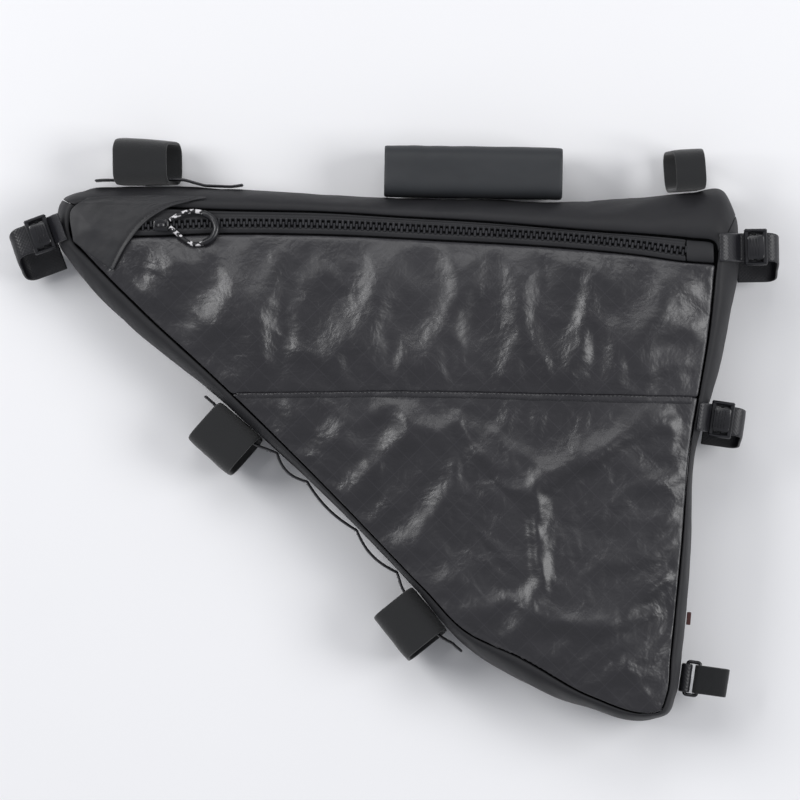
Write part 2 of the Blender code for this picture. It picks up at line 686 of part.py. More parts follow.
def bottom_strap():
    """Webbing tab, plastic ring and doubled strap at the bottom corner."""
    root, angle = edge_frame(place_where("seat_6", "seat_8", 3, 0.079 * BODY_HEIGHT))
    out = np.array([cos(angle), sin(angle)])
    level = BOTTOM_LEVEL * depth(root[0])
    bar = RING_BAR / 2
    fold = bar * 1.5 + GAP + WEBBING / 2
    near = GAP * 3 + WEBBING / 2
    start = near + fold - bar
    wide = WEBBING_WIDTH + 2 * (GAP + RING_BAR)
    centre = (*(root + out * (start + RING_LENGTH / 2)), level)
    ring = box("bottom_ring", (RING_LENGTH, wide, RING_BAR), centre, angle, PLASTIC)
    window = (RING_LENGTH - 2 * RING_BAR, WEBBING_WIDTH + 2 * GAP, RING_BAR * 3)
    boolean(ring, "ring_window", "DIFFERENCE", window, centre, angle)
    inner = rounded_loop(near, start + bar + fold, level - fold, level + fold, fold)
    outer = rounded_loop(start + RING_LENGTH - bar - fold, BOTTOM_REACH, level - fold, level + fold, fold)
    strap("bottom_tab", root, angle, inner, WEBBING_WIDTH, WEBBING, 0.0, WEBBING_BLACK, closed=True)
    strap("bottom_strap", root, angle, outer, WEBBING_WIDTH, WEBBING, 0.0, HOOK_LOOP, closed=True)


def side_tag():
    """Small folded tab that stands out of the seat side."""
    root, angle = edge_frame(place_where("seat_6", "seat_7", 3, 0.190 * BODY_HEIGHT))
    out = np.array([cos(angle), sin(angle)])
    centre = (*(root + out * (GAP * 2 + TAG_REACH / 2)), WIDEST * depth(root[0]))
    box("side_tag", (TAG_REACH, TAG_WIDTH, CLOTH), centre, angle, MATTE)


def settle():
    """Moves the base so that the bag's box is centred over the origin and its back lies on the floor."""
    bpy.context.view_layer.update()
    shapes = bpy.context.evaluated_depsgraph_get()
    corners = []
    for made in bag.objects:
        if made.type != "EMPTY":
            lit = made.evaluated_get(shapes)
            corners += [lit.matrix_world @ vertex.co for vertex in lit.to_mesh().vertices]
            lit.to_mesh_clear()
    low, high = np.min(corners, axis=0), np.max(corners, axis=0)
    base.location = (-(low[0] + high[0]) / 2, -(low[1] + high[1]) / 2, -low[2])


gusset("top_gusset", ROWS["head_top"], ROWS["seat_1"])
gusset("side_gusset", ROWS["seat_1"], len(OUTLINE))
back_panel()
front_panels()
zip_fastener()
slider_and_pull()
corner_patch()
loops()
buckled_straps()
bottom_strap()
side_tag()
settle()
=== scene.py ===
# %% [markdown]
# # A bicycle frame bag
#
# The bag lies on its back, as on a packing table. Its front is a coated laminate that shines and creases, its
# sides are a matte woven cloth, and webbing and hook-and-loop straps stand out where the frame tubes go. The
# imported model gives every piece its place, and the cells below make each surface again in the detail that a
# close look needs.

from math import cos, pi, radians, sin

import bmesh
import bpy
import numpy as np
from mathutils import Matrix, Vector, noise


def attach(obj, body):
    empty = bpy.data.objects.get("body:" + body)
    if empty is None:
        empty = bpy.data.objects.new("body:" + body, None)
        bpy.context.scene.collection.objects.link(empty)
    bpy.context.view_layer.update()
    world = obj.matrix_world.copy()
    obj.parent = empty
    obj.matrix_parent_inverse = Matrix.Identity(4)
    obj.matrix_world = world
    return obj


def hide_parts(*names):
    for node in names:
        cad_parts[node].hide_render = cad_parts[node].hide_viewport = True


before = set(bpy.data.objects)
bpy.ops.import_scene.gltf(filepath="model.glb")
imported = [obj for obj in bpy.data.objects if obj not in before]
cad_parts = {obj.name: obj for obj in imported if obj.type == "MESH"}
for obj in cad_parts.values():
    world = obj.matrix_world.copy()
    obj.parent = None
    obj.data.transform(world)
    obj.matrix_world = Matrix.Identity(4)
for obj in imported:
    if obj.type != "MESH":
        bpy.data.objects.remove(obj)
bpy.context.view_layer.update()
print("nodes", len(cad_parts))

# %% [markdown]
# The camera hangs straight over the bag with a very long lens, because the photograph is a flat, nearly
# parallel view of a bag that lies on a table. Each pixel of that view is 0.70 mm on the bag, so a place read off
# the photograph turns into metres with one scale and one shift. `spot` does that.

# %% The camera and the photograph's scale
PIXEL = 0.00070
PICTURE = 800
VIEW_CENTRE = (0.00444, 0.02041)
CAMERA_HEIGHT = 5.0
FOCUS_LEVEL = 0.045
SENSOR = 36.0

lens = bpy.data.cameras.new("camera")
camera = bpy.data.objects.new("camera", lens)
bpy.context.scene.collection.objects.link(camera)
camera.location = (*VIEW_CENTRE, CAMERA_HEIGHT)
lens.sensor_width = SENSOR
lens.lens = SENSOR * (CAMERA_HEIGHT - FOCUS_LEVEL) / (PICTURE * PIXEL)
lens.clip_end = 50
bpy.context.scene.camera = camera


def spot(x, y):
    """Plan place in metres of a pixel: its distance from the picture's middle times the pixel's size."""
    right, down = (np.array([x, y], float) - PICTURE / 2) * PIXEL
    return np.stack([VIEW_CENTRE[0] + right, VIEW_CENTRE[1] - down], axis=-1)


print("lens", round(lens.lens, 1), "mm")

# %% [markdown]
# The bag's outline is the same short table that the model was cut from: for each section round the bag, the
# front seam's place and the place where the gusset is widest, as shares of the body's length and height. A
# smooth Hermite curve runs through the rows, so a piece can ask for the seam at any place round the bag.

# %% The outline
LENGTH, HEIGHT = 0.478, 0.371
HEAD_DEPTH, SEAT_DEPTH = 0.050, 0.070
BODY = np.array([LENGTH, HEIGHT])
CORNER = np.array([-0.23566, -0.20324])
BULGE, BULGE_RUN = 0.010, 0.045
WIDEST, BACK_REACH, ROUNDNESS = 0.45, 0.80, 2.2
OUTLINE = {
    "head_top": (0.028, 0.969, 0.007, 0.982),
    "top_1": (0.050, 0.971, 0.040, 1.000),
    "top_1b": (0.110, 0.969, 0.095, 1.006),
    "top_2": (0.224, 0.962, 0.217, 1.005),
    "top_3": (0.407, 0.956, 0.407, 0.990),
    "top_4": (0.503, 0.948, 0.503, 0.985),
    "top_5": (0.620, 0.939, 0.620, 0.982),
    "top_6": (0.796, 0.920, 0.784, 0.979),
    "top_7": (0.862, 0.914, 0.854, 0.986),
    "top_8": (0.925, 0.906, 0.930, 0.996),
    "rear_top": (0.960, 0.899, 0.976, 0.998),
    "seat_1": (0.965, 0.878, 0.995, 0.952),
    "seat_2": (0.962, 0.839, 0.999, 0.890),
    "seat_3": (0.951, 0.707, 0.978, 0.705),
    "seat_4": (0.936, 0.593, 0.955, 0.593),
    "seat_5": (0.927, 0.522, 0.938, 0.522),
    "seat_6": (0.914, 0.329, 0.929, 0.329),
    "seat_7": (0.898, 0.122, 0.916, 0.122),
    "seat_8": (0.892, 0.048, 0.906, 0.044),
    "low_corner": (0.882, 0.018, 0.895, 0.010),
    "low_1": (0.866, 0.013, 0.872, 0.000),
    "low_2": (0.781, 0.044, 0.774, 0.022),
    "low_3": (0.678, 0.118, 0.658, 0.087),
    "low_4": (0.595, 0.169, 0.585, 0.154),
    "down_1": (0.539, 0.243, 0.532, 0.234),
    "down_2": (0.377, 0.459, 0.369, 0.450),
    "down_3": (0.236, 0.637, 0.223, 0.620),
    "down_4": (0.125, 0.769, 0.104, 0.745),
    "down_5": (0.042, 0.877, 0.021, 0.858),
    "head_low": (0.023, 0.905, 0.001, 0.895),
    "head_mid": (0.019, 0.939, -0.003, 0.941),
}
ROWS = {name: number for number, name in enumerate(OUTLINE)}


def through(points, places):
    """Hermite cubic through points with chord-length tangents, read at places counted in points."""
    points = np.asarray(points, float)
    steps = np.maximum(np.linalg.norm(np.diff(points, axis=0), axis=1), 1e-9)
    slopes = np.diff(points, axis=0) / steps[:, None]
    before, after = steps[:-1, None], steps[1:, None]
    middle = (slopes[:-1] * after + slopes[1:] * before) / (before + after)
    tangents = np.concatenate([slopes[:1], middle, slopes[-1:]])
    places = np.clip(np.asarray(places, float), 0, len(points) - 1)
    row = np.minimum(places.astype(int), len(points) - 2)
    f = (places - row)[:, None]
    span = steps[row][:, None]
    near = points[row] * (2 * f**3 - 3 * f**2 + 1) + tangents[row] * span * (f**3 - 2 * f**2 + f)
    return near + points[row + 1] * (3 * f**2 - 2 * f**3) + tangents[row + 1] * span * (f**3 - f**2)


def curve(points, count):
    """The smooth curve through a short list of points, read at count even steps."""
    return through(points, np.linspace(0, len(points) - 1, count))


def perimeter(places):
    """Seam and widest points in world metres at places counted in rows of the outline, round and round."""
    table = np.array(list(OUTLINE.values())) * np.tile(BODY, 2) + np.tile(CORNER, 2)
    wrapped = np.concatenate([table[-3:], table, table[:4]])
    return through(wrapped, np.mod(places, len(table)) + 3)


def depth(x):
    """Depth of the bag at world x, even from the head end to the seat end."""
    return HEAD_DEPTH + (SEAT_DEPTH - HEAD_DEPTH) * np.clip((x - CORNER[0]) / LENGTH, 0, 1)


def place_where(first, last, column, value):
    """Place between two rows where a column of the perimeter passes a world value."""
    places = np.linspace(ROWS[first], ROWS[last], 2000)
    return places[np.abs(perimeter(places)[:, column] - value).argmin()]


ROUND = np.arange(0, len(OUTLINE), 1 / 14)
SEAM, EDGE = perimeter(ROUND)[:, :2], perimeter(ROUND)[:, 2:]
print("sections round the bag", len(OUTLINE))

# %% [markdown]
# `front_height` is the lying bag's upper surface without its folds: inside the seam a pillow that rises fast at
# the seam and levels off, outside it a quarter of a superellipse down the gusset. Straps, patch and zip are all
# laid on it, so it is worked out for whole arrays of points at once.

# %% The surface that everything lies on
def front_height(points):
    """Pillow of depth plus bulge times one minus a decaying exponential inside, superellipse roll outside."""
    points = np.asarray(points, float)
    flat = points.reshape(-1, 2)
    height = np.empty(len(flat))
    reach = EDGE - SEAM
    length = np.maximum((reach**2).sum(axis=1), 1e-12)
    for part in np.array_split(np.arange(len(flat)), len(flat) // 4000 + 1):
        offset = flat[part][:, None, :] - SEAM[None]
        ratio = np.clip((offset * reach).sum(axis=2) / length, 0, 1)
        away = np.linalg.norm(offset - ratio[..., None] * reach, axis=2)
        nearest = away.argmin(axis=1)
        rows = np.arange(len(part))
        ratio, away = ratio[rows, nearest], away[rows, nearest]
        top = depth(flat[part, 0])
        pillow = top + BULGE * (1 - np.exp(-away / BULGE_RUN))
        roll = top * (WIDEST + (1 - WIDEST) * (1 - ratio**ROUNDNESS) ** (1 / ROUNDNESS))
        height[part] = np.where(ratio > 1e-3, roll, pillow)
    return height.reshape(points.shape[:-1])


def inset(points, distance):
    """Points of a clockwise curve moved to its inner side."""
    along = np.gradient(points, axis=0)
    along /= np.linalg.norm(along, axis=1)[:, None]
    return points + distance * np.stack([along[:, 1], -along[:, 0]], axis=1)


def seam_run(start, stop, count, distance=0.0008):
    """The seam between two places, moved in by a distance, at count even steps."""
    points = perimeter(np.linspace(start, stop, 600))[:, :2]
    points = inset(points, distance * np.sign(stop - start))
    run = np.append(0, np.cumsum(np.linalg.norm(np.diff(points, axis=0), axis=1)))
    at = np.linspace(0, run[-1], count)
    return np.stack([np.interp(at, run, points[:, k]) for k in range(2)], axis=1)


print("height at the middle", round(float(front_height([0.03, 0.05])), 4))

# %% [markdown]
# Every cloth piece below is a grid of points in rows and columns. `grid_mesh` turns one into a mesh in one
# go, keeps the row and column as a UV map for weaves that follow the cloth, and can give it a wall and a finer
# surface with live modifiers. The normals are turned to face out before the wall is added.

# %% Grids into meshes
slots = {}


def finish_piece(made, slot_name, nodes=()):
    """Hands a piece over: it rides on the bag, has its finish's slot and stands for its nodes."""
    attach(made, "root")
    slots[made] = slot_name
    if nodes:
        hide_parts(*nodes)
    return made


def grid_mesh(name, grid, closed=False, around=False):
    """Quads between neighbouring points; closed joins the last row to the first, around the columns too."""
    rows, columns = grid.shape[:2]
    i, j = np.meshgrid(np.arange(rows if closed else rows - 1), np.arange(columns if around else columns - 1),
                       indexing="ij")
    a, b = i * columns, ((i + 1) % rows) * columns
    k = (j + 1) % columns
    quads = np.stack([a + j, a + k, b + k, b + j], axis=-1).reshape(-1, 4)
    mesh = bpy.data.meshes.new(name)
    mesh.from_pydata(grid.reshape(-1, 3).tolist(), [], quads.tolist())
    run = np.append(0, np.cumsum(np.linalg.norm(np.diff(grid[:, columns // 2], axis=0), axis=1)))
    rise = np.append(0, np.cumsum(np.linalg.norm(np.diff(grid[rows // 2], axis=0), axis=1)))
    run, rise = np.append(run, run[-1] + run[1]), np.append(rise, rise[-1] + rise[1])
    uv = np.stack([
        np.stack([run[i], rise[j]], axis=-1),
        np.stack([run[i], rise[j + 1]], axis=-1),
        np.stack([run[i + 1], rise[j + 1]], axis=-1),
        np.stack([run[i + 1], rise[j]], axis=-1),
    ], axis=2).reshape(-1, 2)
    mesh.uv_layers.new(name="cloth").data.foreach_set("uv", uv.astype(np.float32).ravel())
    mesh.shade_smooth()
    made = bpy.data.objects.new(name, mesh)
    bpy.context.scene.collection.objects.link(made)
    return made


def wall(made, thickness, offset=-1.0):
    """Gives a sheet its thickness, below its faces, about them or, with an offset of one, above them."""
    solid = made.modifiers.new("wall", "SOLIDIFY")
    solid.thickness = thickness
    solid.offset = offset
    return made


def finer(made):
    """Smooths a piece with one subdivision, the same in the view and in the render."""
    soft = made.modifiers.new("finer", "SUBSURF")
    soft.levels = soft.render_levels = 1
    return made


def upwards(grid):
    """The grid with its rows turned over where its first cell would face down."""
    a, b = grid[0, 1, :2] - grid[0, 0, :2], grid[1, 0, :2] - grid[0, 0, :2]
    return grid if a[0] * b[1] - a[1] * b[0] > 0 else grid[::-1]


def lift(flat, clearance):
    """Plan points set at a clearance over the bag's front."""
    return np.concatenate([flat, (front_height(flat) + clearance)[..., None]], axis=-1)


def patchwork(bottom, top, left, right):
    """Coons patch: the sum of the two ruled surfaces between opposite sides, less the corners' ruled surface."""
    u = np.linspace(0, 1, len(bottom))[None, :, None]
    v = np.linspace(0, 1, len(left))[:, None, None]
    ruled = (1 - v) * bottom[None] + v * top[None] + (1 - u) * left[:, None] + u * right[:, None]
    corners = (1 - u) * (1 - v) * bottom[0] + u * (1 - v) * bottom[-1] + (1 - u) * v * top[0] + u * v * top[-1]
    return ruled - corners


print("helpers ready")

# %% [markdown]
# The zip pull is a short loop of flecked cord with a smooth grip at its end. Cords come first, because their
# length and where they lie are facts of the object and not a matter of looks. Both strands leave the slider, so
# the cord goes out along the upper strand, through the grip and back, and ends in the slider again.

# %% The pull cord and its grip
CHAIN_RISE = 0.0009
GAP = 0.0003
CLOTH = 0.0015
CORD_RADIUS, GRIP_RADIUS = 0.0015, 0.0024
CORD_OUT = [(0.1660, 0.941), (0.180, 0.952), (0.196, 0.958), (0.212, 0.957)]
GRIP_ROUTE = [(0.212, 0.957), (0.229, 0.943), (0.234, 0.926), (0.228, 0.908), (0.214, 0.897)]
CORD_BACK = [(0.214, 0.897), (0.200, 0.896), (0.187, 0.905), (0.177, 0.916), (0.1665, 0.9280)]


def shares(table):
    """A table of shares in world metres."""
    return np.array(table) * BODY + CORNER


route = np.concatenate([curve(shares(CORD_OUT), 9), curve(shares(GRIP_ROUTE), 10)[1:-1], curve(shares(CORD_BACK), 9)])
route = lift(route, CHAIN_RISE + GAP + GRIP_RADIUS)
cord_curve = bpy.data.curves.new("pull_cord", "CURVE")
cord_curve.dimensions = "3D"
cord_curve.bevel_depth = 1.0
cord_curve.bevel_resolution = 4
cord_curve.use_fill_caps = True
spline = cord_curve.splines.new("POLY")
spline.points.add(len(route) - 1)
spline.points.foreach_set("co", np.column_stack([route, np.ones(len(route))]).ravel())
spline.points.foreach_set("radius", np.full(len(route), CORD_RADIUS))
spline.use_smooth = True
pull_cord = bpy.data.objects.new("pull_cord", cord_curve)
bpy.context.scene.collection.objects.link(pull_cord)
finish_piece(pull_cord, "pull_cord", ["pull_cord_upper", "pull_cord_lower"])


def ring_of(count, radius=1.0):
    """Points of a circle in the plane, one row of out and up for each side."""
    turn = np.linspace(0, 2 * pi, count, endpoint=False)
    return radius * np.stack([np.cos(turn), np.sin(turn)], axis=1)


def carried(path, profile, scale=None):
    """A closed profile carried along a path: at each point it stands square to the path and to the vertical."""
    along = np.gradient(path, axis=0)
    along /= np.linalg.norm(along, axis=1)[:, None]
    side = np.cross([0.0, 0.0, 1.0], along)
    side /= np.linalg.norm(side, axis=1)[:, None]
    up = np.cross(along, side)
    scale = np.ones(len(path)) if scale is None else np.asarray(scale)
    return (path[:, None] + scale[:, None, None]
            * (profile[None, :, :1] * side[:, None] + profile[None, :, 1:] * up[:, None]))


def capped(name, grid):
    """A carried profile as a closed body, its two ends closed by a face each."""
    made = grid_mesh(name, np.swapaxes(grid, 0, 1), closed=True)
    rows, columns = grid.shape[1], grid.shape[0]
    soup = bpy.data.meshes.new(name + "_closed")
    points = np.empty(len(made.data.vertices) * 3)
    made.data.vertices.foreach_get("co", points)
    quads = [list(face.vertices) for face in made.data.polygons]
    quads.append([r * columns for r in range(rows)][::-1])
    quads.append([r * columns + columns - 1 for r in range(rows)])
    soup.from_pydata(points.reshape(-1, 3).tolist(), [], quads)
    face_out(soup)
    soup.shade_smooth()
    soup.set_sharp_from_angle(angle=radians(50))
    old = made.data
    made.data = soup
    bpy.data.meshes.remove(old)
    return made


def face_out(mesh):
    """Makes a closed mesh's faces point out."""
    shape = bmesh.new()
    shape.from_mesh(mesh)
    bmesh.ops.recalc_face_normals(shape, faces=shape.faces)
    shape.to_mesh(mesh)
    shape.free()


grip_path = lift(curve(shares(GRIP_ROUTE), 30)[1:-1], CHAIN_RISE + GAP + GRIP_RADIUS)
swell = 0.86 + 0.14 * np.sin(np.linspace(0, pi, len(grip_path))) ** 0.3
pull_grip = capped("pull_grip_tube", carried(grip_path, ring_of(16, GRIP_RADIUS * 1.02), swell))
finish_piece(pull_grip, "buckle_plastic", ["pull_grip"])
print("cord", round(float(np.linalg.norm(np.diff(route, axis=0), axis=1).sum()) * 1000), "mm")

# %% [markdown]
# The front is one stretch of coated laminate with a felled seam across it. Such cloth is stiff and a little too
# large for its frame of stitching, so it buckles into flat facets with short puckers along each seam. The surest
# way to that look is to let the cloth do it. A grid of the front is pinned along its edge, given 3.5 per cent of
# slack everywhere but at the seams, laid on a pillow of stuffing and simulated for a second. The result is read
# back as points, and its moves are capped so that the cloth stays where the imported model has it.

# %% The front's grid
COLUMNS, UPPER_ROWS, LOWER_ROWS = 132, 33, 72
LIP_DROP = 0.0074
ZIP_LINE = [(0.030, 0.934), (0.104, 0.931), (0.251, 0.936), (0.378, 0.934), (0.561, 0.923), (0.747, 0.908),
            (0.854, 0.894), (0.919, 0.882), (0.990, 0.876)]
CROSS_LINE = [(0.150, 0.614), (0.252, 0.614), (0.503, 0.619), (0.737, 0.615), (0.990, 0.606)]
zip_points = curve(shares(ZIP_LINE), 300)
cross_points = curve(shares(CROSS_LINE), 400)


def zip_y(x):
    """World y of the teeth's centre at world x."""
    return np.interp(x, zip_points[:, 0], zip_points[:, 1])


def evened(points, count):
    """The same line with its points at even distances."""
    run = np.append(0, np.cumsum(np.linalg.norm(np.diff(points, axis=0), axis=1)))
    at = np.linspace(0, run[-1], count)
    return np.stack([np.interp(at, run, points[:, k]) for k in range(points.shape[1])], axis=1)


def sampled(grid, rows, columns):
    """The grid read between its points: straight interpolation in its row and column numbers."""
    rows, columns = np.broadcast_arrays(rows, columns)
    rows, columns = np.clip(rows, 0, grid.shape[0] - 1.001), np.clip(columns, 0, grid.shape[1] - 1.001)
    i, j = rows.astype(int), columns.astype(int)
    f, g = (rows - i)[..., None], (columns - j)[..., None]
    return ((grid[i, j] * (1 - f) + grid[i + 1, j] * f) * (1 - g)
            + (grid[i, j + 1] * (1 - f) + grid[i + 1, j + 1] * f) * g)


left = place_where("down_2", "down_4", 1, cross_points[0, 1])
right = place_where("seat_3", "seat_6", 1, cross_points[-1, 1])
x = np.linspace(seam_run(left, left - 0.01, 2)[0, 0], seam_run(right - 0.01, right, 2)[1, 0], COLUMNS)
across_front = np.stack([x, np.interp(x, cross_points[:, 0], cross_points[:, 1])], axis=1)
lip_left = place_where("down_4", "head_low", 1, zip_y(CORNER[0] + 0.03 * LENGTH) - LIP_DROP)
lip_right = place_where("seat_1", "seat_3", 1, zip_y(CORNER[0] + LENGTH) - LIP_DROP)
left_side = seam_run(left, lip_left, UPPER_ROWS)
right_side = seam_run(lip_right, right, UPPER_ROWS)[::-1]
left_side[0], right_side[0] = across_front[0], across_front[-1]
x = np.linspace(left_side[-1, 0], right_side[-1, 0], COLUMNS)
lip = np.stack([x, zip_y(x) - LIP_DROP - GAP], axis=1)
left_side[-1], right_side[-1] = lip[0], lip[-1]
upper_flat = patchwork(across_front, lip, left_side, right_side)

corner, heel = ROWS["low_corner"] - 0.2, ROWS["low_3"] + 0.4
right_side = seam_run(right, corner, LOWER_ROWS)[::-1]
left_side = seam_run(heel, left, LOWER_ROWS)
left_side[-1], right_side[-1] = across_front[0], across_front[-1]
foot = seam_run(corner, heel, COLUMNS)[::-1]
right_side[0], left_side[0] = foot[-1], foot[0]
lower_flat = patchwork(foot, across_front, left_side, right_side)
front_flat = np.concatenate([lower_flat, upper_flat[1:]])
FELL_ROW = LOWER_ROWS - 1
print("front grid", front_flat.shape)

# %% How much slack the cloth has, and its first shape
SEAM_REACH = 0.010
START_WAVE, START_SPREAD = 0.0012, 0.035
STUFFING_DEPTH = 0.0030
from_fell = np.abs(front_flat[..., 1] - front_flat[FELL_ROW, :, 1][None])
edge_away = np.linalg.norm(front_flat.reshape(-1, 1, 2) - SEAM[None, ::3], axis=2).min(axis=1)
edge_away = edge_away.reshape(front_flat.shape[:2])
lip_away = np.abs(front_flat[..., 1] - (zip_y(front_flat[..., 0]) - LIP_DROP))
near_seam = np.exp(-(np.minimum(np.minimum(from_fell, edge_away), lip_away) / SEAM_REACH) ** 2)


def rough(points, scale, seed, octaves=3):
    """Fractal noise at each point, from minus one to one, always the same for the same seed."""
    flat = points.reshape(-1, points.shape[-1])[:, :2] / scale
    flat = np.column_stack([flat, np.full(len(flat), float(seed))])
    values = [noise.fractal(point, 0.8, 2.1, octaves, noise_basis="PERLIN_ORIGINAL") for point in flat.tolist()]
    return np.array(values).reshape(points.shape[:-1])


front_ground = front_height(front_flat)
start_height = front_ground + START_WAVE * rough(front_flat, START_SPREAD, 3) * (1 - near_seam)
start = np.concatenate([front_flat, start_height[..., None]], axis=-1)


def simulated(start, ground, frames=22):
    """The cloth's points after it has settled on the stuffing under it."""
    under = (ground[::3, ::3] - STUFFING_DEPTH)[..., None]
    body = grid_mesh("stuffing", np.concatenate([front_flat[::3, ::3], under], axis=-1))
    body.modifiers.new("collision", "COLLISION")
    body.collision.thickness_outer = 0.0005
    cloth = grid_mesh("front_cloth", start)
    seam_group = cloth.vertex_groups.new(name="seams")
    pin_group = cloth.vertex_groups.new(name="pins")
    edge = np.zeros(start.shape[:2], bool)
    edge[[0, -1]] = True
    edge[:, [0, -1]] = True
    pin_group.add(np.flatnonzero(edge.ravel()).tolist(), 1.0, "REPLACE")
    for level in np.linspace(0.1, 1, 10):
        chosen = np.flatnonzero(np.round(near_seam.ravel(), 1) == round(float(level), 1))
        seam_group.add(chosen.tolist(), float(level), "REPLACE")
    soft = cloth.modifiers.new("cloth", "CLOTH")
    settings = soft.settings
    settings.quality = 7
    settings.mass = 0.25
    settings.tension_stiffness = settings.compression_stiffness = 40
    settings.shear_stiffness = 25
    settings.bending_stiffness = 8
    settings.vertex_group_mass = "pins"
    settings.vertex_group_shrink = "seams"
    settings.shrink_min = -0.035
    settings.shrink_max = 0.006
    settings.effector_weights.gravity = 0.03
    soft.collision_settings.use_collision = True
    soft.collision_settings.distance_min = 0.0008
    soft.collision_settings.collision_quality = 2
    soft.point_cache.frame_start, soft.point_cache.frame_end = 1, frames
    scene = bpy.context.scene
    for number in range(1, frames + 1):
        scene.frame_set(number)
    lit = cloth.evaluated_get(bpy.context.evaluated_depsgraph_get())
    points = np.empty(start.size)
    lit.data.vertices.foreach_get("co", points)
    for made in (cloth, body):
        bpy.data.objects.remove(made, do_unlink=True)
    scene.frame_set(1)
    return points.reshape(start.shape)


settled = simulated(start, front_ground)
moved = settled - np.concatenate([front_flat, front_ground[..., None]], axis=-1)
print("moved by up to", round(float(np.abs(moved[..., 2]).max()) * 1000, 1), "mm, mean",
      round(float(moved[..., 2].mean()) * 1000, 1), "mm")

# %% [markdown]
# The simulation gives the front its character, and the photograph gives the places of the folds that catch the
# light. Each of those is a short ridge or valley: a bell curve across a line from one place to another, which
# fades at both its ends. The moves are smoothed and faded out at the stitched edges and under the patch.

# %% Folds where the photograph has them
PATCH_FREE = [(0.082, 0.846), (0.103, 0.895), (0.131, 0.939), (0.159, 0.963), (0.222, 0.986)]
LOWEST, HIGHEST = -0.003, 0.0065
# Columns: both ends in pixels, half width in pixels, height in millimetres
FOLDS = [
    (168, 262, 250, 330, 30, 2.6), (230, 330, 300, 392, 22, 2.0), (120, 262, 150, 300, 8, 1.4),
    (138, 246, 158, 272, 5, 1.0), (150, 262, 172, 300, 7, -1.2), (300, 352, 318, 392, 7, 1.3),
    (330, 348, 352, 392, 9, 1.1), (378, 345, 392, 388, 6, 0.9), (402, 362, 396, 392, 4, 0.9),
    (438, 352, 446, 392, 6, 1.0), (470, 350, 482, 392, 7, 0.9), (506, 356, 498, 392, 6, 0.9),
    (540, 350, 548, 392, 7, 0.9), (584, 346, 574, 392, 8, 0.9), (616, 352, 622, 392, 6, 0.8),
    (652, 350, 646, 394, 8, 0.9), (452, 268, 520, 300, 26, 1.2), (560, 262, 660, 300, 24, 1.0),
    (330, 268, 420, 300, 24, 1.1), (600, 318, 690, 330, 16, 0.9), (420, 320, 540, 330, 20, -0.8),
    (300, 410, 356, 448, 14, 1.6), (356, 448, 392, 500, 12, 1.5), (268, 404, 330, 404, 10, 0.9),
    (392, 412, 430, 460, 12, 1.5), (452, 408, 500, 452, 13, 1.6), (430, 470, 520, 440, 14, 1.2),
    (440, 540, 492, 580, 18, -1.8), (470, 500, 560, 470, 14, 1.5), (540, 420, 600, 470, 13, 1.3),
    (600, 444, 680, 500, 13, 1.7), (612, 500, 676, 470, 9, 1.3), (600, 560, 670, 520, 12, 1.6),
    (580, 620, 668, 576, 13, 1.8), (600, 668, 664, 640, 10, 1.6), (530, 560, 600, 620, 14, 1.3),
    (500, 620, 560, 670, 12, 1.2), (420, 520, 470, 600, 12, 1.2), (640, 400, 690, 440, 10, 1.1),
    (560, 520, 620, 540, 12, -1.1), (630, 600, 676, 610, 8, -1.0),
]


def ridges(flat, table):
    """Sum of bell-shaped ridges in metres: the distance to each segment over its half width, faded at the ends."""
    total = np.zeros(flat.shape[:-1])
    for x0, y0, x1, y1, half_width, high in table:
        a, b = spot(x0, y0), spot(x1, y1)
        span = b - a
        t = ((flat - a) @ span) / (span @ span)
        foot = a + np.clip(t, 0, 1)[..., None] * span
        away = np.linalg.norm(flat - foot, axis=-1) / (half_width * PIXEL)
        total += high * 0.001 * np.exp(-away**2) * np.clip(1.15 - np.abs(np.clip(t, -0.5, 1.5) - 0.5) * 0.9, 0, 1)
    return total


def smoothed(values, times):
    """Each point of a grid is mixed half and half with the mean of its four neighbours, so many times."""
    for _ in range(times):
        padded = np.pad(values, ((1, 1), (1, 1)) + ((0, 0),) * (values.ndim - 2), mode="edge")
        values = (padded[:-2, 1:-1] + padded[2:, 1:-1] + padded[1:-1, :-2] + padded[1:-1, 2:] + 4 * values) / 8
    return values


patch_edge = curve(shares(PATCH_FREE), 40)
patch_away = np.linalg.norm(front_flat[:, :, None] - patch_edge[None, None], axis=3).min(axis=2)
inside_patch = (front_flat[..., 0] < np.interp(front_flat[..., 1], patch_edge[:, 1], patch_edge[:, 0]))
patch_hold = np.where(inside_patch, 0, np.clip(patch_away / 0.012, 0, 1))
hold = np.clip(edge_away / 0.009, 0, 1) * np.clip(lip_away / 0.010, 0, 1) * patch_hold
drape = smoothed(moved, 2) * [0.6, 0.6, 0.75]
drape[..., 2] += ridges(front_flat, FOLDS)
drape[..., 2] += 0.0007 * np.exp(-((lip_away - 0.0030) / 0.0035) ** 2)
drape[..., 2] -= 0.0012 * np.exp(-(edge_away / 0.0035) ** 2) * (1 - hold)
drape[..., :2] *= hold[..., None]
drape[..., 2] = np.clip(drape[..., 2] * np.maximum(hold, 0.15), LOWEST, HIGHEST)
front_points = np.concatenate([front_flat, front_ground[..., None]], axis=-1) + drape
lower_front = grid_mesh("lower_front", front_points[:LOWER_ROWS])
upper_front = grid_mesh("upper_front", front_points[FELL_ROW:])
for made, node in ((lower_front, "panel_lower"), (upper_front, "panel_upper")):
    finish_piece(finer(wall(made, CLOTH)), "coated_fabric", [node])
print("tallest fold", round(float(drape[..., 2].max()) * 1000, 1), "mm")

# %% [markdown]
# The two panels meet in a felled seam: the upper one is folded under and stitched down twice, which leaves a flat
# ribbon of double cloth with a step at its upper edge and a sunk line of thread at its lower one.

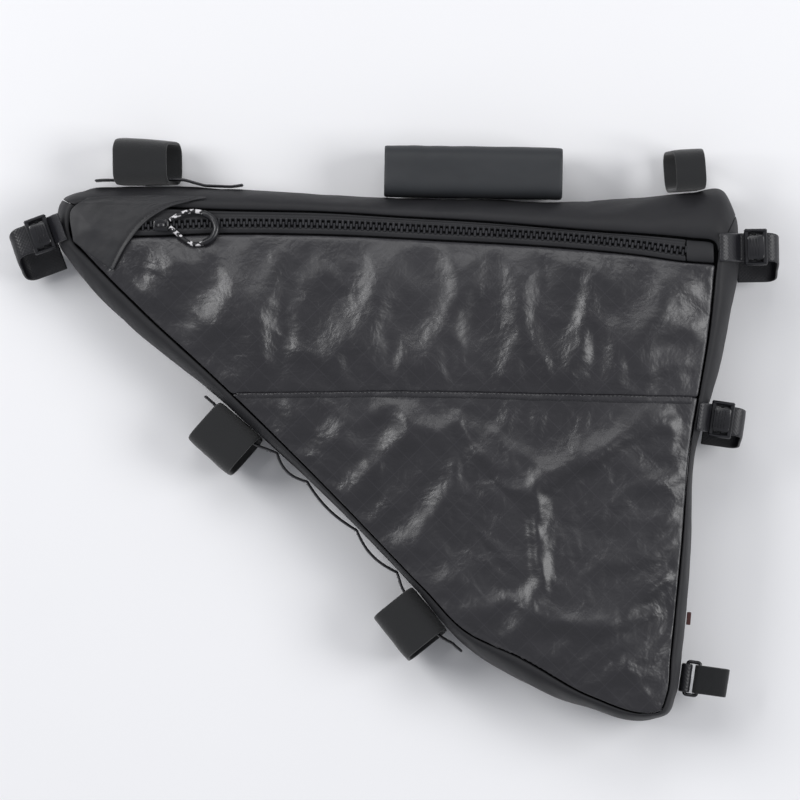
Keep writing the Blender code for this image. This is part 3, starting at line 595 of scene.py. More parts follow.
# %% The felled seam and the thread
FELL_HIGH, FELL_RISE, STITCH = 0.0064, 0.0009, 0.0030
row_height = np.linalg.norm(front_points[FELL_ROW + 1, 60] - front_points[FELL_ROW, 60])
fell_columns = np.linspace(1.5, COLUMNS - 2.5, 260)[None, :]
fell_v = np.linspace(0, 1, 7)[:, None]
fell_rows = FELL_ROW + (0.0009 - fell_v * FELL_HIGH) / row_height
ribbon = sampled(front_points, fell_rows, fell_columns)
profile = FELL_RISE * np.array([0.15, 1.0, 1.0, 0.95, 0.95, 0.35, 0.0])[:, None]
ribbon[..., 2] += profile + 0.0003 * rough(ribbon, 0.012, 21)
finish_piece(finer(wall(grid_mesh("felled_seam", upwards(ribbon)), 0.0006)), "coated_fabric")
STITCH_RADIUS = 0.00022


def stitches(name, line, pitch=STITCH, radius=STITCH_RADIUS, fill=0.68, slot_name="webbing"):
    """A row of stitches: a small six-sided bar for each pitch of the line, sunk a little at both its ends."""
    count = max(int(np.linalg.norm(np.diff(line, axis=0), axis=1).sum() / pitch), 2)
    line = evened(np.asarray(line, float), 2 * count + 1)
    middle, step = line[1::2], line[2::2] - line[:-1:2]
    length = np.linalg.norm(step, axis=1)
    along = step / length[:, None]
    side = np.cross(along, [0.0, 0.0, 1.0])
    side /= np.maximum(np.linalg.norm(side, axis=1), 1e-9)[:, None]
    up = np.cross(side, along)
    at = np.array([-0.5, -0.42, 0.0, 0.42, 0.5]) * fill
    size = np.array([0.35, 0.85, 1.0, 0.85, 0.35])
    sink = np.array([-1.3, -0.3, 0.0, -0.3, -1.3]) * radius
    ring = ring_of(6, radius)
    bars = (middle[:, None, None] + along[:, None, None] * at[None, :, None, None] * length[:, None, None, None]
            + up[:, None, None] * (sink[None, :, None, None] + size[None, :, None, None] * ring[None, None, :, 1:])
            + side[:, None, None] * (size[None, :, None, None] * ring[None, None, :, :1]))
    base = np.arange(len(bars))[:, None, None] * 30
    k, j = np.meshgrid(np.arange(4), np.arange(6), indexing="ij")
    ahead = (j + 1) % 6
    quads = np.stack([k * 6 + j, k * 6 + ahead, (k + 1) * 6 + ahead, (k + 1) * 6 + j], axis=-1).reshape(-1, 4)
    quads = (base + quads[None]).reshape(-1, 4).tolist()
    ends = (base[:, :, 0] + np.arange(5, -1, -1)).tolist() + (base[:, :, 0] + np.arange(24, 30)).tolist()
    mesh = bpy.data.meshes.new(name)
    mesh.from_pydata(bars.reshape(-1, 3).tolist(), [], quads + ends)
    face_out(mesh)
    mesh.shade_smooth()
    made = bpy.data.objects.new(name, mesh)
    bpy.context.scene.collection.objects.link(made)
    return finish_piece(made, slot_name)


for name, share in (("upper_fell_stitches", 0.17), ("lower_fell_stitches", 0.80)):
    path = sampled(front_points, FELL_ROW + (0.0009 - share * FELL_HIGH) / row_height, fell_columns[0])
    path[:, 2] += FELL_RISE * (0.98 if share < 0.5 else 0.62)
    stitches(name, path)
print("felled seam", round(float(np.linalg.norm(np.diff(ribbon[3], axis=0), axis=1).sum()) * 1000), "mm")

# %% [markdown]
# The gusset is the matte cloth that runs round the bag between the front and the back. Its section is a sewn
# groove at the front seam, a soft roll out to the widest line and a turn back in under the bag. The cloth is
# slack along its length, so low waves run across it, and they fade out at the seams, where the stitching holds.

# %% The gussets and the back
GROOVE, GROOVE_RUN = 0.0016, 0.0030
SECTION_PITCH = 0.0032
WAVE, WAVE_SPREAD = 0.0011, 0.028


def gusset(name, start, stop, nodes):
    """Sections round the bag, each a superellipse roll with a groove at the seam and a bulge of seeded noise."""
    run = np.linalg.norm(np.diff(perimeter(np.linspace(start, stop, 200))[:, 2:], axis=0), axis=1).sum()
    count = int(run / SECTION_PITCH)
    points = perimeter(np.linspace(start, stop, count))
    along = np.gradient(points[:, :2], axis=0)
    along /= np.linalg.norm(along, axis=1)[:, None]
    points[0] += np.tile(along[0], 2) * GAP
    points[-1] -= np.tile(along[-1], 2) * GAP
    seam, reach = points[:, None, :2], points[:, None, 2:] - points[:, None, :2]
    turn = np.linspace(0, pi / 2, 12)
    fall = np.linspace(0, 1, 8)[1:]
    out = np.concatenate([np.sin(turn) ** (2 / ROUNDNESS), BACK_REACH + (1 - BACK_REACH) * np.sqrt(1 - fall**2)])
    up = np.concatenate([WIDEST + (1 - WIDEST) * np.cos(turn) ** (2 / ROUNDNESS), WIDEST * (1 - fall)])
    deep = depth(points[:, 0])[:, None]
    flat = seam + reach * out[None, :, None]
    height = deep * up[None]
    away = np.linalg.norm(flat - seam, axis=2)
    height -= GROOVE * np.exp(-(away / GROOVE_RUN) ** 2) * (up[None] > WIDEST)
    hold = np.clip(away / 0.010, 0, 1) * np.clip(height / 0.012, 0, 1)
    spread = np.concatenate([flat, height[..., None]], axis=2)
    unrolled = np.stack([flat[..., 0] + height, flat[..., 1] - height], axis=-1)
    waves = WAVE * rough(unrolled, WAVE_SPREAD, 11)
    outward = reach / np.linalg.norm(reach, axis=2)[..., None]
    spread[..., :2] += outward * (waves * hold)[..., None]
    spread[..., 2] += waves * hold * 0.6 * np.cos(np.clip(out, 0, 1) * pi / 2)[None]
    spread[..., 2] = np.maximum(spread[..., 2], 0)
    made = grid_mesh(name, spread)
    return finish_piece(finer(wall(made, CLOTH, 1.0)), "gusset_fabric", nodes)


top_band = gusset("top_band", ROWS["head_top"], ROWS["seat_1"], ["top_gusset"])
side_band = gusset("side_band", ROWS["seat_1"], len(OUTLINE), ["side_gusset"])

around = perimeter(np.arange(0, len(OUTLINE), 1 / 8))
rim = around[:, :2] + (around[:, 2:] - around[:, :2]) * BACK_REACH
rim = inset(rim, CLOTH + 2 * GAP)
middle = rim.mean(axis=0)
rings = np.linspace(1, 0.0, 24)[:, None, None]
disc = middle + (rim - middle)[None] * rings
quilt = CLOTH + 0.0004 * rough(disc, 0.03, 5)
disc = np.concatenate([disc, np.broadcast_to(quilt[..., None], disc.shape[:2] + (1,))], axis=2)
disc[0, :, 2] = CLOTH
back_cloth = wall(grid_mesh("back_cloth", upwards(disc), around=True), CLOTH * 0.9)
finish_piece(back_cloth, "coated_fabric", ["back_panel"])
print("gusset points", len(top_band.data.vertices), len(side_band.data.vertices))

# %% [markdown]
# The zip lies in a valley between the band and a raised lip of the front. Both tapes are woven, and each has a
# rounded cord along the edge that carries its teeth. The teeth are moulded one by one, so they are made as one
# block that is repeated at every pitch, first on one tape and then, half a pitch on, on the other.

# %% The zip
CHAIN_WIDTH, CHAIN_THICKNESS = 0.0072, 0.0024
ZIP_END = CORNER[0] + 0.919 * LENGTH
TOOTH_PITCH = 0.0039
TAPE = 0.0009
top_seam = seam_run(ROWS["head_top"], ROWS["seat_1"], 600)


def top_seam_y(x):
    """World y of the seam above the zip at world x."""
    order = np.argsort(top_seam[:, 0])
    return np.interp(x, top_seam[order, 0], top_seam[order, 1])


def strip_between(name, x, low, high, rises, slot_name, nodes, thickness):
    """A strip of cloth between two lines, with a rise over the front for each line of its width."""
    v = np.linspace(0, 1, len(rises))[:, None]
    flat = np.stack([np.tile(x, (len(rises), 1)), low[None] * (1 - v) + high[None] * v], axis=2)
    grid = lift(flat, np.asarray(rises)[:, None])
    made = grid_mesh(name, upwards(grid))
    return finish_piece(finer(wall(made, thickness)), slot_name, nodes)


x = np.linspace(CORNER[0] + 0.040 * LENGTH, ZIP_END, 150)
half = CHAIN_WIDTH / 2
strip_between("upper_tape", x, zip_y(x) + half * 0.55, top_seam_y(x),
              [-0.0012, -0.0004, -0.0002, -0.0008, -0.0010, -0.0008, 0.0000, -0.0010], "zip_tape",
              ["zip_tape_upper"], TAPE)
strip_between("lower_tape", x, zip_y(x) - LIP_DROP + GAP, zip_y(x) - half * 0.55,
              [-0.0014, -0.0010, -0.0004, -0.0002, -0.0012], "zip_tape", ["zip_tape_lower"], TAPE)


def block(size, bevel):
    """Vertices and faces of a box with its edges cut off once, with its middle at the origin."""
    shape = bmesh.new()
    bmesh.ops.create_cube(shape, size=1)
    bmesh.ops.scale(shape, vec=size, verts=shape.verts)
    bmesh.ops.bevel(shape, geom=shape.edges[:], offset=bevel, segments=1, affect="EDGES")
    points = np.array([list(vertex.co) for vertex in shape.verts])
    shape.verts.index_update()
    faces = [[vertex.index for vertex in face.verts] for face in shape.faces]
    shape.free()
    return points, faces


def repeated(name, points, faces, places, angles, slot_name, nodes):
    """One small shape at many places: each copy is turned by its angle about the vertical."""
    turned = np.repeat(points[None], len(places), axis=0)
    c, s = np.cos(angles)[:, None], np.sin(angles)[:, None]
    turned = np.stack([turned[..., 0] * c - turned[..., 1] * s, turned[..., 0] * s + turned[..., 1] * c,
                       turned[..., 2]], axis=-1) + places[:, None]
    starts = np.arange(len(places)) * len(points)
    lists = [[start + corner for corner in face] for start in starts.tolist() for face in faces]
    mesh = bpy.data.meshes.new(name)
    mesh.from_pydata(turned.reshape(-1, 3).tolist(), [], lists)
    mesh.shade_smooth()
    mesh.set_sharp_from_angle(angle=radians(35))
    made = bpy.data.objects.new(name, mesh)
    bpy.context.scene.collection.objects.link(made)
    return finish_piece(made, slot_name, nodes)


chain = evened(np.column_stack([x, zip_y(x)]), int(np.ptp(x) / TOOTH_PITCH * 2))
along = np.gradient(chain, axis=0)
angles = np.arctan2(along[:, 1], along[:, 0])
side = np.where(np.arange(len(chain)) % 2 == 0, 1.0, -1.0)
normal = np.column_stack([-np.sin(angles), np.cos(angles)])
tooth_points, tooth_faces = block((TOOTH_PITCH * 0.44, CHAIN_WIDTH * 0.62, CHAIN_THICKNESS), 0.0004)
places = np.column_stack([chain + normal * (side * CHAIN_WIDTH * 0.17)[:, None],
                          front_height(chain) + CHAIN_RISE - CHAIN_THICKNESS / 2])
repeated("zip_teeth_pairs", tooth_points, tooth_faces, places, angles, "zip_teeth", ["zip_teeth"])
print("teeth", len(places))

# %% [markdown]
# The corner patch wraps the head corner. Its free edge is cut in a long curve, folded under and stitched, so it
# stands a little off the cloth below and throws a thin shadow there. The slider waits beside it at the closed end.

# %% The corner patch
PATCH_LEFT = [(0.024, 0.902), (0.022, 0.962), (0.046, 0.985)]
PATCH_TOP = [(0.046, 0.985), (0.130, 0.990), (0.222, 0.986)]
PATCH_FOOT = [(0.024, 0.902), (0.047, 0.878), (0.082, 0.846)]
PATCH_SPAN, HEM = 0.06, 0.0035
columns, rows = 56, 40
patch_flat = patchwork(curve(shares(PATCH_FOOT), columns), curve(shares(PATCH_TOP), columns),
                       curve(shares(PATCH_LEFT), rows), curve(shares(PATCH_FREE), rows))
u = np.linspace(0, 1, columns)[None, :]
free_away = (1 - u) * PATCH_SPAN
puff = 0.0006 * rough(patch_flat, 0.025, 31) * np.clip(np.minimum(u, 1 - u) * 6, 0, 1)
rise = CHAIN_RISE + GAP + CLOTH * 0.9 + puff + 0.0005 * np.exp(-(free_away / 0.0012) ** 2)
rise = rise - 0.0004 * np.exp(-((free_away - HEM) / 0.0012) ** 2)
patch_grid = lift(patch_flat, rise)
patch_piece = finer(wall(grid_mesh("head_corner_patch", upwards(patch_grid)), 0.0012))
finish_piece(patch_piece, "patch_fabric", ["corner_patch"])
hem = sampled(patch_grid, np.linspace(1, rows - 3, 120), np.full(120, columns * (1 - HEM / PATCH_SPAN) - 1))
hem[:, 2] += 0.0001
stitches("patch_stitches", hem, slot_name="patch_fabric")

# %% The slider
slide_x = CORNER[0] + 0.153 * LENGTH
slide_angle = float(np.arctan2(zip_y(slide_x + 0.01) - zip_y(slide_x), 0.01))
ground = float(front_height([slide_x, zip_y(slide_x)])) + CHAIN_RISE + 3 * GAP


def rounded_plan(length, nose, tail, corner_round, count=48):
    """Outline of a slider: a superellipse whose half width goes from its nose to its tail."""
    turn = np.linspace(0, 2 * pi, count, endpoint=False)
    power = 2 / corner_round
    x = np.sign(np.cos(turn)) * np.abs(np.cos(turn)) ** power * length / 2
    y = np.sign(np.sin(turn)) * np.abs(np.sin(turn)) ** power
    return np.column_stack([x, y * (tail + (nose - tail) * (x / length + 0.5)) / 2])


def plate(name, plan, levels, scales):
    """A plan outline carried up through levels with a scale at each: a closed body with rounded edges."""
    rings = [np.column_stack([plan * s, np.full(len(plan), z)]) for z, s in zip(levels, scales)]
    grid = np.stack(rings)
    count = len(plan)
    i, j = np.meshgrid(np.arange(len(rings) - 1), np.arange(count), indexing="ij")
    quads = np.stack([i * count + j, i * count + (j + 1) % count, (i + 1) * count + (j + 1) % count,
                      (i + 1) * count + j], axis=-1).reshape(-1, 4).tolist()
    quads += [list(range(count))[::-1], list(range((len(rings) - 1) * count, len(rings) * count))]
    mesh = bpy.data.meshes.new(name)
    mesh.from_pydata(grid.reshape(-1, 3).tolist(), [], quads)
    face_out(mesh)
    mesh.shade_smooth()
    mesh.set_sharp_from_angle(angle=radians(40))
    made = bpy.data.objects.new(name, mesh)
    bpy.context.scene.collection.objects.link(made)
    return made


def set_down(made, place, angle):
    """Turns a mesh's points about the vertical and moves them to their place, so the object stays at the origin."""
    points = np.empty(len(made.data.vertices) * 3)
    made.data.vertices.foreach_get("co", points)
    points = points.reshape(-1, 3)
    c, s = cos(angle), sin(angle)
    turned = np.column_stack([points[:, 0] * c - points[:, 1] * s, points[:, 0] * s + points[:, 1] * c, points[:, 2]])
    made.data.vertices.foreach_set("co", (turned + place).ravel())
    made.data.update()
    return made


def joined(name, parts):
    """Several meshes made into one object."""
    whole = bmesh.new()
    for part in parts:
        whole.from_mesh(part.data)
        bpy.data.objects.remove(part, do_unlink=True)
    mesh = bpy.data.meshes.new(name)
    whole.to_mesh(mesh)
    whole.free()
    mesh.shade_smooth()
    mesh.set_sharp_from_angle(angle=radians(40))
    made = bpy.data.objects.new(name, mesh)
    bpy.context.scene.collection.objects.link(made)
    return made


SLIDER_PLAN = (0.0105, 0.0090, 0.0074, 5)
shell = plate("slider_top", rounded_plan(*SLIDER_PLAN), [0, 0.0002, 0.0010, 0.0014], [0.94, 1, 1, 0.9])
arch_path = np.column_stack([np.linspace(-0.0034, 0.0034, 15), np.zeros(15),
                             0.0012 + 0.0024 * np.sin(np.linspace(0, pi, 15)) ** 0.6])
ARCH_SECTION = [(-0.0012, -0.0005), (0.0012, -0.0005), (0.0013, 0.0001), (0.0008, 0.0006), (-0.0008, 0.0006),
                (-0.0013, 0.0001)]
arch = capped("slider_arch", carried(arch_path, np.array(ARCH_SECTION)))
slider = joined("slider", [shell, arch])
set_down(slider, (slide_x, float(zip_y(slide_x)), ground), slide_angle)
finish_piece(slider, "buckle_plastic", ["zip_slider"])
print("slider at", round(slide_x, 3))

# %% [markdown]
# The straps for the bicycle's tubes are closed loops of doubled hook-and-loop tape. Each is a side view carried
# across its width. A real strap isn't a perfect extrusion, so the side view breathes a little from edge to edge:
# the edges curl in, the layers move apart and together a little, and one strap leans towards its far end.

# %% Straps round the tubes
STRAP_THICKNESS, LOOP_RADIUS, LOOP_LOW, LOOP_HIGH = 0.0022, 0.008, 0.14, 0.80
WEBBING_WIDTH, WEBBING = 0.020, 0.0016


def edge_frame(place):
    """Point on the widest line and the angle of its outward normal."""
    before, point, after = perimeter(np.array([place - 0.05, place, place + 0.05]))[:, 2:]
    along = after - before
    return point, float(np.arctan2(along[0], -along[1]))


def rounded_loop(near, far, low, high, radius, steps=9):
    """Closed loop of webbing seen from its side, as rows of out and height."""
    radius = min(radius, (high - low) / 2.2, (far - near) / 2.2)
    corners = [(far, low, -90), (far, high, 0), (near, high, 90), (near, low, 180)]
    rows = []
    for x, z, first in corners:
        turn = np.radians(first + np.linspace(0, 90, steps))
        rows.append(np.column_stack([x + (-radius if x == far else radius) + radius * np.cos(turn),
                                     z + (-radius if z == high else radius) + radius * np.sin(turn)]))
    return np.concatenate(rows)


def hook(front, back, far, low, high, radius, steps=11):
    """Open strap seen from its side: out along the front, round, and back at the lower level."""
    rows = [np.column_stack([np.linspace(front, far - radius, 6)[:-1], np.full(5, high)])]
    for level, first in ((high, 90), (low, 0)):
        turn = np.radians(first - np.linspace(0, 90, steps))
        centre = level - radius if level == high else level + radius
        rows.append(np.column_stack([far - radius + radius * np.cos(turn), centre + radius * np.sin(turn)]))
    rows.append(np.column_stack([np.linspace(far - radius, back, 6)[1:], np.full(5, low)]))
    return np.concatenate(rows)


def refined(profile, count, closed):
    """The side view at count even steps, smoothed so that its corners bend softly."""
    line = np.concatenate([profile, profile[:1]]) if closed else profile
    even = evened(line, count + 1 if closed else count)
    even = even[:-1] if closed else even
    for _ in range(3):
        if closed:
            even = (np.roll(even, 1, axis=0) + 2 * even + np.roll(even, -1, axis=0)) / 4
        else:
            even[1:-1] = (even[:-2] + 2 * even[1:-1] + even[2:]) / 4
    return even


def band(name, root, angle, profile, width, thickness, skew, slot_name, nodes, closed=True, seed=1, curl=0.0005,
         lean=0.0, count=84, columns=15):
    """A side view carried across a width: the lower half moves along the width by the skew, the top leans out along
    it by the lean, the edges curl in by the curl and low noise moves the whole a little in and out."""
    out = np.array([cos(angle), sin(angle)])
    across = np.array([-sin(angle), cos(angle)])
    profile = refined(profile, count, closed)
    high, low, far = profile[:, 1].max(), profile[:, 1].min(), profile[:, 0].max()
    shift = skew * (high - profile[:, 1]) / (high - low)
    v = np.linspace(-0.5, 0.5, columns)
    share = np.clip(profile[:, 0] / far, 0, 1)[:, None]
    reach = profile[:, :1] * (1 + lean * v[None] * share)
    centre = profile.mean(axis=0)
    radial = (profile - centre) / np.linalg.norm(profile - centre, axis=1)[:, None]
    unrolled = np.stack([np.repeat(profile[:, :1], columns, 1) + profile[:, 1:2],
                         np.tile(v * width, (len(profile), 1))], axis=-1)
    wave = 0.0005 * rough(unrolled, 0.02, seed)
    moved_in = (wave - curl * (2 * np.abs(v[None])) ** 4) * np.clip(share * 1.6, 0, 1)
    reach = reach + radial[:, :1] * moved_in
    level = profile[:, 1:] + radial[:, 1:] * moved_in
    flat = np.asarray(root) + reach[..., None] * out + (shift[:, None] + v[None] * width)[..., None] * across
    grid = np.concatenate([flat, np.broadcast_to(level[..., None], flat.shape[:2] + (1,))], axis=2)
    finish_piece(finer(wall(grid_mesh(name, grid, closed=closed), thickness, 0.0)), slot_name, nodes)


def tube_loop(name, node, span, share, width, reach, skew, slot_name="hook_and_loop", **look):
    """Closed strap that stands on the gusset, for a tube of the bicycle's frame."""
    first, last, column = span
    root, angle = edge_frame(place_where(first, last, column, share * BODY[column - 2] + CORNER[column - 2]))
    deep = depth(root[0])
    profile = rounded_loop(GAP * 3 + STRAP_THICKNESS / 2, reach, LOOP_LOW * deep, LOOP_HIGH * deep, LOOP_RADIUS)
    band(name, root, angle, profile, width, STRAP_THICKNESS, skew, slot_name, [node], **look)


TOP, DOWN = ("top_1", "top_8", 2), ("low_4", "down_4", 2)
WIDE, NARROW, FLAP_WIDTH = 0.038, 0.021, 0.125
tube_loop("front_top_strap", "top_strap_front", TOP, 0.121, WIDE, 0.032, -0.010, lean=0.10, seed=2)
tube_loop("wide_flap", "top_flap", TOP, 0.609, FLAP_WIDTH, 0.036, 0.0, "smooth_flap", seed=3, columns=41)
tube_loop("rear_top_strap", "top_strap_rear", TOP, 0.937, NARROW, 0.029, 0.007, seed=4)
tube_loop("upper_down_strap", "down_strap_upper", DOWN, 0.268, WIDE, 0.035, 0.004, seed=5)
tube_loop("lower_down_strap", "down_strap_lower", DOWN, 0.545, WIDE, 0.035, 0.004, seed=6)
print("loops 5")


# %% The webbing strips along the edges
SCALLOP_LIFT, STRIP_WIDTH, STRIP_CLEARANCE = 0.005, 0.022, 0.0008
SCALLOPS = [(0.00, 1, 0.0), (0.04, 1, 0.9), (0.23, 1, 0.0), (0.27, 0, 1.0), (0.385, 0, 0.8), (0.58, 0, 1.0),
            (0.735, 0, 0.0), (0.765, 1, 0.9), (0.96, 1, 0.0), (1.00, 1, 0.0)]


def places_at(first, last, x):
    """Places between two rows where the widest line has the given world x."""
    places = np.linspace(ROWS[first], ROWS[last], 800)
    edge = perimeter(places)[:, 2]
    order = np.argsort(edge)
    return np.interp(x, edge[order], places[order])


def edge_strip(name, node, places, lifts, columns=9):
    """Webbing along the gusset's widest line, at lifts over it."""
    points = perimeter(places)[:, 2:]
    along = np.gradient(points, axis=0)
    along /= np.linalg.norm(along, axis=1)[:, None]
    turned = np.sign(places[-1] - places[0])
    outward = np.stack([-along[:, 1], along[:, 0]], axis=1) * turned
    v = np.linspace(-0.5, 0.5, columns)
    bow = -0.0005 * (2 * np.abs(v)) ** 3
    rise = lifts[:, None] + bow[None] * np.clip(lifts[:, None] / 0.003, 0, 1)
    flat = points[:, None] + outward[:, None] * rise[..., None]
    level = (depth(points[:, 0]) * (LOOP_LOW + LOOP_HIGH) / 2)[:, None] + v[None] * STRIP_WIDTH
    grid = np.concatenate([flat, level[..., None]], axis=2)
    finish_piece(finer(wall(grid_mesh(name, grid), WEBBING, turned)), "webbing", [node])
    return grid, outward


over = GAP * 5 + STRAP_THICKNESS + STRIP_CLEARANCE
share = np.linspace(0, 1, 60)
places = places_at("top_1", "top_3", CORNER[0] + (0.055 + 0.217 * share) * LENGTH)
flat_lift = GAP * 2 + (over - GAP * 2) * np.clip((0.74 - share) / 0.14, 0, 1)
edge_strip("upper_edge_strip", "top_strip", places, flat_lift + 0.002 * np.clip((share - 0.9) / 0.1, 0, 1) ** 1.5)

share = np.linspace(0, 1, 190)
places = places_at("low_3", "down_4", CORNER[0] + (0.222 + 0.378 * share) * LENGTH)
first, covers, rise = np.array(SCALLOPS).T
span = np.clip(np.searchsorted(first, share, side="right") - 1, 0, len(first) - 2)
local = (share - first[span]) / (first[span + 1] - first[span])
seat = GAP * 2 + (over - GAP * 2) * np.interp(share, first, covers)
raised = seat + SCALLOP_LIFT * rise[span] * np.sin(pi * local) ** 0.8
strip_grid, strip_out = edge_strip("lower_edge_strip", "down_strip", places, raised)
tack_rows = [round(at * 189) + step for at in (0.25, 0.385, 0.58, 0.75) for step in (-1, 1)]
for number, row in enumerate(tack_rows):
    tack = strip_grid[row, 1:-1] + np.append(strip_out[row] * 0.0018, 0)
    stitches(f"strip_tack_{number}", tack, pitch=0.0022, radius=0.0003)
print("tacks", len(tack_rows))

# %% [markdown]
# Three short straps close with cam buckles: a sewn tab on the bag holds a moulded frame, the webbing comes back
# through it, and a toothed lever presses it down. The frame is two rails, a floor and two bars, and the lever is
# a ribbed plate between the bars, so that the webbing can be seen through the slots before and behind it.

# %% Tabs, cam buckles and their straps
BUCKLE_LENGTH, BUCKLE_WALL, BUCKLE_START, BUCKLE_LEVEL = 0.016, 0.0025, 0.003, 0.80
LEVER_LENGTH, TURN_RADIUS = 0.012, 0.007


def solid_block(name, size, centre, bevel=0.0005):
    points, faces = block(size, bevel)
    mesh = bpy.data.meshes.new(name)
    mesh.from_pydata((points + centre).tolist(), [], faces)
    made = bpy.data.objects.new(name, mesh)
    bpy.context.scene.collection.objects.link(made)
    return made


def cam_buckle(end, centre, angle):
    """Frame and lever about the webbing's level: heights are half the webbing, its play and the wall."""
    play = WEBBING / 2 + GAP
    tall = 2 * (play + BUCKLE_WALL)
    inner = WEBBING_WIDTH + 2 * GAP
    bar = BUCKLE_LENGTH * 0.20
    wide = inner + 0.002
    parts = [solid_block("floor", (BUCKLE_LENGTH, wide, BUCKLE_WALL), (0, 0, -play - BUCKLE_WALL / 2))]
    for side in (-1, 1):
        at = (0, side * (inner + BUCKLE_WALL) / 2, 0)
        parts.append(solid_block("rail", (BUCKLE_LENGTH, BUCKLE_WALL, tall), at, 0.0009))
        at = (side * (BUCKLE_LENGTH - bar) / 2, 0, play + BUCKLE_WALL / 2)
        parts.append(solid_block("bar", (bar, wide, BUCKLE_WALL * 0.9), at, 0.0007))
    body = set_down(joined(end + "_cam_frame", parts), centre, angle)
    finish_piece(body, "buckle_plastic", [end + "_buckle"])
    width = WEBBING_WIDTH * 0.85
    low = play + BUCKLE_WALL + GAP
    plan = rounded_plan(LEVER_LENGTH, width, width * 0.94, 7)
    parts = [plate("lever_plate", plan, [low, low + 0.0004, low + 0.0014, low + 0.0018], [0.95, 1, 1, 0.93])]
    for number in range(4):
        at = (-0.0040 + number * 0.0020, 0, low + 0.0019)
        parts.append(solid_block("rib", (0.0008, width * 0.72, 0.0006), at, 0.0002))
    lever = set_down(joined(end + "_cam_lever", parts), centre, angle)
    finish_piece(lever, "buckle_plastic", [end + "_lever"])


def buckled_strap(end, root, angle, reach, skew, sewn, back, seed, lean=0.0):
    """Tab, cam buckle and strap: tab and strap meet inside the buckle's frame."""
    root = np.asarray(root)
    out = np.array([cos(angle), sin(angle)])
    across = np.array([-sin(angle), cos(angle)])
    deep = depth(root[0])
    level = BUCKLE_LEVEL * deep
    middle = BUCKLE_START + BUCKLE_LENGTH / 2
    start = np.append(np.linspace(-sewn, 0, 14), [BUCKLE_START * 0.6, middle - GAP / 2])
    side = np.linspace(-0.5, 0.5, 9) * WEBBING_WIDTH
    flat = root + start[:, None, None] * out + side[None, :, None] * across
    ground = np.maximum(front_height(flat), front_height(flat - out * WEBBING))
    clear = ground.max(axis=1, keepdims=True) + WEBBING / 2 + 0.0004
    share = np.clip(1 + start / sewn, 0, 1)[:, None]
    slope = clear[0] * (1 - share) + level * share
    height = np.where(start[:, None] < BUCKLE_START / 2, np.maximum(clear, slope), level)
    height = np.repeat(height, len(side), axis=1)
    tab = grid_mesh(end + "_sewn_tab", upwards(np.concatenate([flat, height[..., None]], axis=2)))
    finish_piece(finer(wall(tab, WEBBING, 0.0)), "webbing", [end + "_tab"])
    profile = hook(middle + GAP / 2, back, reach, (LOOP_LOW + 0.08) * deep, level, TURN_RADIUS)
    band(end + "_webbing", root, angle, profile, WEBBING_WIDTH, WEBBING, skew, "webbing", [end + "_strap"],
         closed=False, seed=seed, curl=0.0002, lean=lean, count=70)
    cam_buckle(end, (*(root + out * middle), level), angle)
    seam = np.column_stack([flat[2, 1:-1], height[2, 1:-1] + WEBBING / 2])
    stitches(end + "_tab_stitches", seam, pitch=0.0024)


root, _ = edge_frame(place_where("down_5", "head_mid", 3, 0.925 * HEIGHT + CORNER[1]))
buckled_strap("head", root, radians(200), 0.032, 0.018, 0.006, 0.0022, 12)
root, angle = edge_frame(place_where("seat_1", "seat_3", 3, 0.890 * HEIGHT + CORNER[1]))
buckled_strap("seat_upper", root, angle, 0.027, -0.014, 0.015, -GAP, 13)
root, _ = edge_frame(place_where("seat_3", "seat_5", 3, 0.570 * HEIGHT + CORNER[1]))
buckled_strap("seat_lower", root, radians(-8), 0.027, -0.009, 0.006, GAP * 2, 14)

# %% The bottom strap, its ring and the side tag
BOTTOM_REACH, BOTTOM_LEVEL, RING_LENGTH, RING_BAR = 0.034, 0.42, 0.012, 0.0026
root, angle = edge_frame(place_where("seat_6", "seat_8", 3, 0.079 * HEIGHT + CORNER[1]))
out = np.array([cos(angle), sin(angle)])
level = BOTTOM_LEVEL * depth(root[0])
bar = RING_BAR / 2
fold = bar * 1.5 + GAP + WEBBING / 2
near = GAP * 3 + WEBBING / 2
first = near + fold - bar
ring_wide = WEBBING_WIDTH + 2 * (GAP + RING_BAR)
centre = (*(root + out * (first + RING_LENGTH / 2)), level)
turn = np.linspace(0, 2 * pi, 64, endpoint=False)
half_long, half_wide = RING_LENGTH / 2 - bar, ring_wide / 2 - bar
ring_path = np.column_stack([
    half_long * np.sign(np.cos(turn)) * np.abs(np.cos(turn)) ** 0.28,
    half_wide * np.sign(np.sin(turn)) * np.abs(np.sin(turn)) ** 0.28,
    np.zeros(64),
])
ring_path = evened(np.concatenate([ring_path, ring_path[:1]]), 73)[:-1]
ahead = np.roll(ring_path, -1, axis=0) - np.roll(ring_path, 1, axis=0)
ahead /= np.linalg.norm(ahead, axis=1)[:, None]
sideways = np.cross([0.0, 0.0, 1.0], ahead)
section = ring_of(12, bar)
ring_grid = (ring_path[:, None] + section[None, :, :1] * sideways[:, None]
             + section[None, :, 1:] * np.array([0, 0, 1.0]))
ring = grid_mesh("plastic_ring", ring_grid, closed=True, around=True)
face_out(ring.data)
finish_piece(set_down(ring, centre, angle), "buckle_plastic", ["bottom_ring"])
inner = rounded_loop(near, first + bar + fold, level - fold, level + fold, fold)
outer = rounded_loop(first + RING_LENGTH - bar - fold, BOTTOM_REACH, level - fold, level + fold, fold)
for name, profile, slot_name, node_name, seed in (
    ("bottom_webbing", inner, "webbing", "bottom_tab", 15),
    ("bottom_tape", outer, "hook_and_loop", "bottom_strap", 16),
):
    band(name, root, angle, profile, WEBBING_WIDTH, WEBBING, 0.0, slot_name, [node_name], seed=seed, curl=0.0)
root, angle = edge_frame(place_where("seat_6", "seat_7", 3, 0.190 * HEIGHT + CORNER[1]))
out = np.array([cos(angle), sin(angle)])
